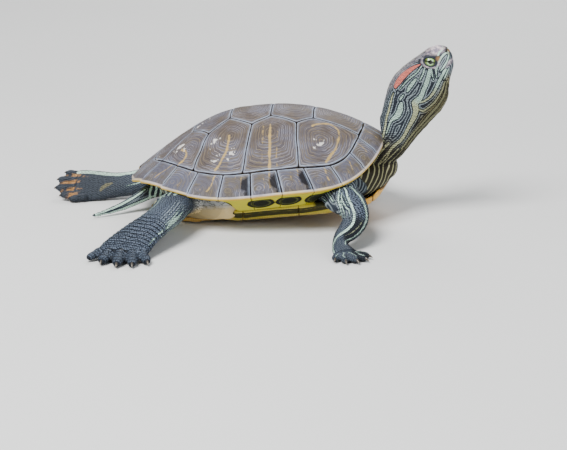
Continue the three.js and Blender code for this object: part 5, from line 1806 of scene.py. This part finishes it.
def make_scales(skin, material):
    surface = Surface(skin.data)
    for k, (name, limb) in enumerate(LIMBS.items()):
        toes = TOE_LIMBS.get(name, [])
        fine = name == "head_neck"
        places = scale_places(limb, 3.7 if fine else 0.3, SCALE_STOPS[name], 50 + k)
        batches = [lay_scales(limb, places, surface, (0, 0.7 if toes else 1), 2.2, fine)]
        for n, toe in enumerate(toes):
            places = scale_places(toe, 1.0, TOE_SCALES, 60 + 5 * k + n)
            strip = (0.72 + 0.056 * n, 0.77 + 0.056 * n)
            batches.append(lay_scales(toe, places, surface, strip, 2.0, False))
        points, faces = joined([(batch[0], [batch[1]]) for batch in batches])
        fields = all_fields(points)
        fields["tile"] = np.concatenate([batch[3] for batch in batches])
        label = name if name in ("head_neck", "tail") else f"leg_{name}"
        piece = mesh_piece(f"scales_{label}", points, faces, fields, "skin", material=material)
        chart = np.concatenate([batch[2] for batch in batches])
        corners = np.empty(len(piece.data.loops), np.int32)
        piece.data.loops.foreach_get("vertex_index", corners)
        layer = piece.data.uv_layers.new(name="OFBake")
        layer.uv.foreach_set("vector", chart[corners].astype(np.float32).ravel())


def skin_finish():
    r = Recipe("skin")
    flow = r.field("flow") + (r.noise(0.12, 3) - 0.5) * 1.1
    thin, olive, blue, tile = r.field("thin"), r.field("olive"), r.field("blue"), r.field("tile")
    grain = r.noise(0.9, 4)
    patchy = r.noise(0.1, 3)
    # near-black skin, slate-blue granules and olive undersides
    base = r.blend((0.007, 0.008, 0.01), (0.018, 0.021, 0.027), patchy)
    slate = r.blend((0.035, 0.05, 0.075), (0.1, 0.13, 0.18), grain)
    # painted highlight: the crowns of the scales are a lighter slate
    slate = r.blend(slate, (0.17, 0.2, 0.26), tile.above(0.85, 0.25) * 0.45)
    base = r.blend(base, slate, blue * 0.9)
    base = r.blend(base, (0.028, 0.023, 0.012), olive * 0.8)
    # bare skin in the leg pockets: ivory below, veined grey-white above
    veined = r.noise(0.13, 3, stretch=(1, 1, 1.6)).near(0.5, 0.03, 0.03)
    grey_white = r.blend((0.56, 0.59, 0.6), (0.72, 0.71, 0.67), patchy)
    grey_white = r.blend(grey_white, (0.03, 0.03, 0.03), veined * 0.85)
    ivory = r.blend((0.95, 0.68, 0.26), (1.0, 0.82, 0.5), patchy)
    bare = r.blend(ivory, grey_white, r.field("level").above(16, 2.5))
    base = r.blend(base, bare, r.field("cream"))
    # thin lines that run beside the stripes
    pale_line = r.blend((0.36, 0.43, 0.46), (0.25, 0.22, 0.1), olive)
    lines = (flow - 0.75).wave(2.1).above(0.69, 0.13) * flow.above(0.7, 0.2) * thin
    color = r.blend(base, pale_line, lines * 0.9)
    # the mottled crown and snout
    mottle = r.noise(0.34, 3, stretch=(1, 1, 1.8)).above(0.5, 0.1)
    crown = r.blend((0.27, 0.23, 0.3), (0.82, 0.68, 0.7), mottle)
    color = r.blend(color, crown, r.field("snout") * (grain + 0.5).clamped() * 0.9)
    # mint and cream stripes, dull spots, the red patch behind the eye, and tan webs and nostrils
    mint = r.blend((0.42, 0.65, 0.54), (0.68, 0.9, 0.78), grain)
    cream = r.blend((0.5, 0.54, 0.28), (0.68, 0.7, 0.46), grain)
    pale = r.blend(mint, cream, r.field("warm"))
    pale = r.blend(pale, (0.2, 0.17, 0.08), olive * 0.7)
    color = r.blend(color, pale, (r.field("pale") + (grain - 0.5) * 0.3).above(0.0, 0.14))
    color = r.blend(color, (0.15, 0.14, 0.085), (r.field("spot") + (grain - 0.5) * 0.8).above(0.0, 0.3))
    red = r.blend((0.9, 0.17, 0.12), (1.0, 0.36, 0.28), grain)
    color = r.blend(color, red, (r.field("red") + (grain - 0.5) * 0.3).above(0.0, 0.14))
    color = r.blend(color, r.blend((0.38, 0.16, 0.04), (0.56, 0.33, 0.13), patchy), r.field("tan") * 0.85)
    # painted shade in the valleys of the folds, and in the gaps between scales
    color = r.blend(color, (0.006, 0.008, 0.011), (r.field("fold") * -1).above(0.35, 0.3) * 0.75)
    # painted shade: the low sides of the scales and the skin between and under them near-black
    gaps = (1 - tile.above(0.5, 0.32)) * tile.above(-0.5, 0.1)
    shade_under_scales = (1 - tile.above(-0.5, 0.1)) * blue
    color = r.blend(color, (0.004, 0.005, 0.008), (gaps + shade_under_scales).clamped() * 0.88)
    relief = grain * 0.7 + r.pebbles(1.1) * 0.8
    return r.surface(color, grain * 0.2 + 0.42, relief, lift=0.1, specular=0.12)


# ---- floor and light ----
FLOOR_HALF = 4000
LIGHT_AIM = Vector((60, 0, 40)) * MM


def make_floor():
    points = [(x * FLOOR_HALF, y * FLOOR_HALF, 0) for x, y in ((-1, -1), (1, -1), (1, 1), (-1, 1))]
    r = Recipe("pale floor")
    shade = r.blend((0.62, 0.62, 0.61), (0.66, 0.66, 0.65), r.noise(0.004, 2))
    floor = mesh_piece("floor", points, [[[0, 1, 2, 3]]], material=r.surface(shade, 0.8))


def make_light(name, place, size, power, color=(1, 1, 1)):
    """A round soft light; its place in mm, its size in metres."""
    lamp = bpy.data.lights.new(name, "AREA")
    lamp.shape = "DISK"
    lamp.size = size
    lamp.energy = power
    lamp.color = color
    holder = bpy.data.objects.new(name, lamp)
    holder.location = Vector(place) * MM
    holder.rotation_euler = (LIGHT_AIM - holder.location).to_track_quat("-Z", "Y").to_euler()
    bpy.context.scene.collection.objects.link(holder)


def make_lights():
    make_light("key", (-500, -900, 1500), 0.9, 68)
    make_light("fill", (1100, -900, 700), 1.4, 12, color=(0.95, 0.98, 1.0))
    make_light("back", (200, 1200, 1000), 1.0, 16)
    world = bpy.data.worlds.new("studio")
    world.use_nodes = True
    world.node_tree.nodes["Background"].inputs["Color"].default_value = (0.9, 0.95, 1.0, 1)
    world.node_tree.nodes["Background"].inputs["Strength"].default_value = 0.3
    bpy.context.scene.world = world


# ---- assembly ----
carapace_horn = carapace_finish()
belly_horn = belly_finish()
make_scutes(carapace_horn)
make_marginals(carapace_horn)
make_plastron(belly_horn)
skin_material = skin_finish()
skin = make_skin(skin_material)
make_scales(skin, skin_material)
make_eyes(eye_finish())
make_claws(claw_finish())
make_floor()
make_lights()
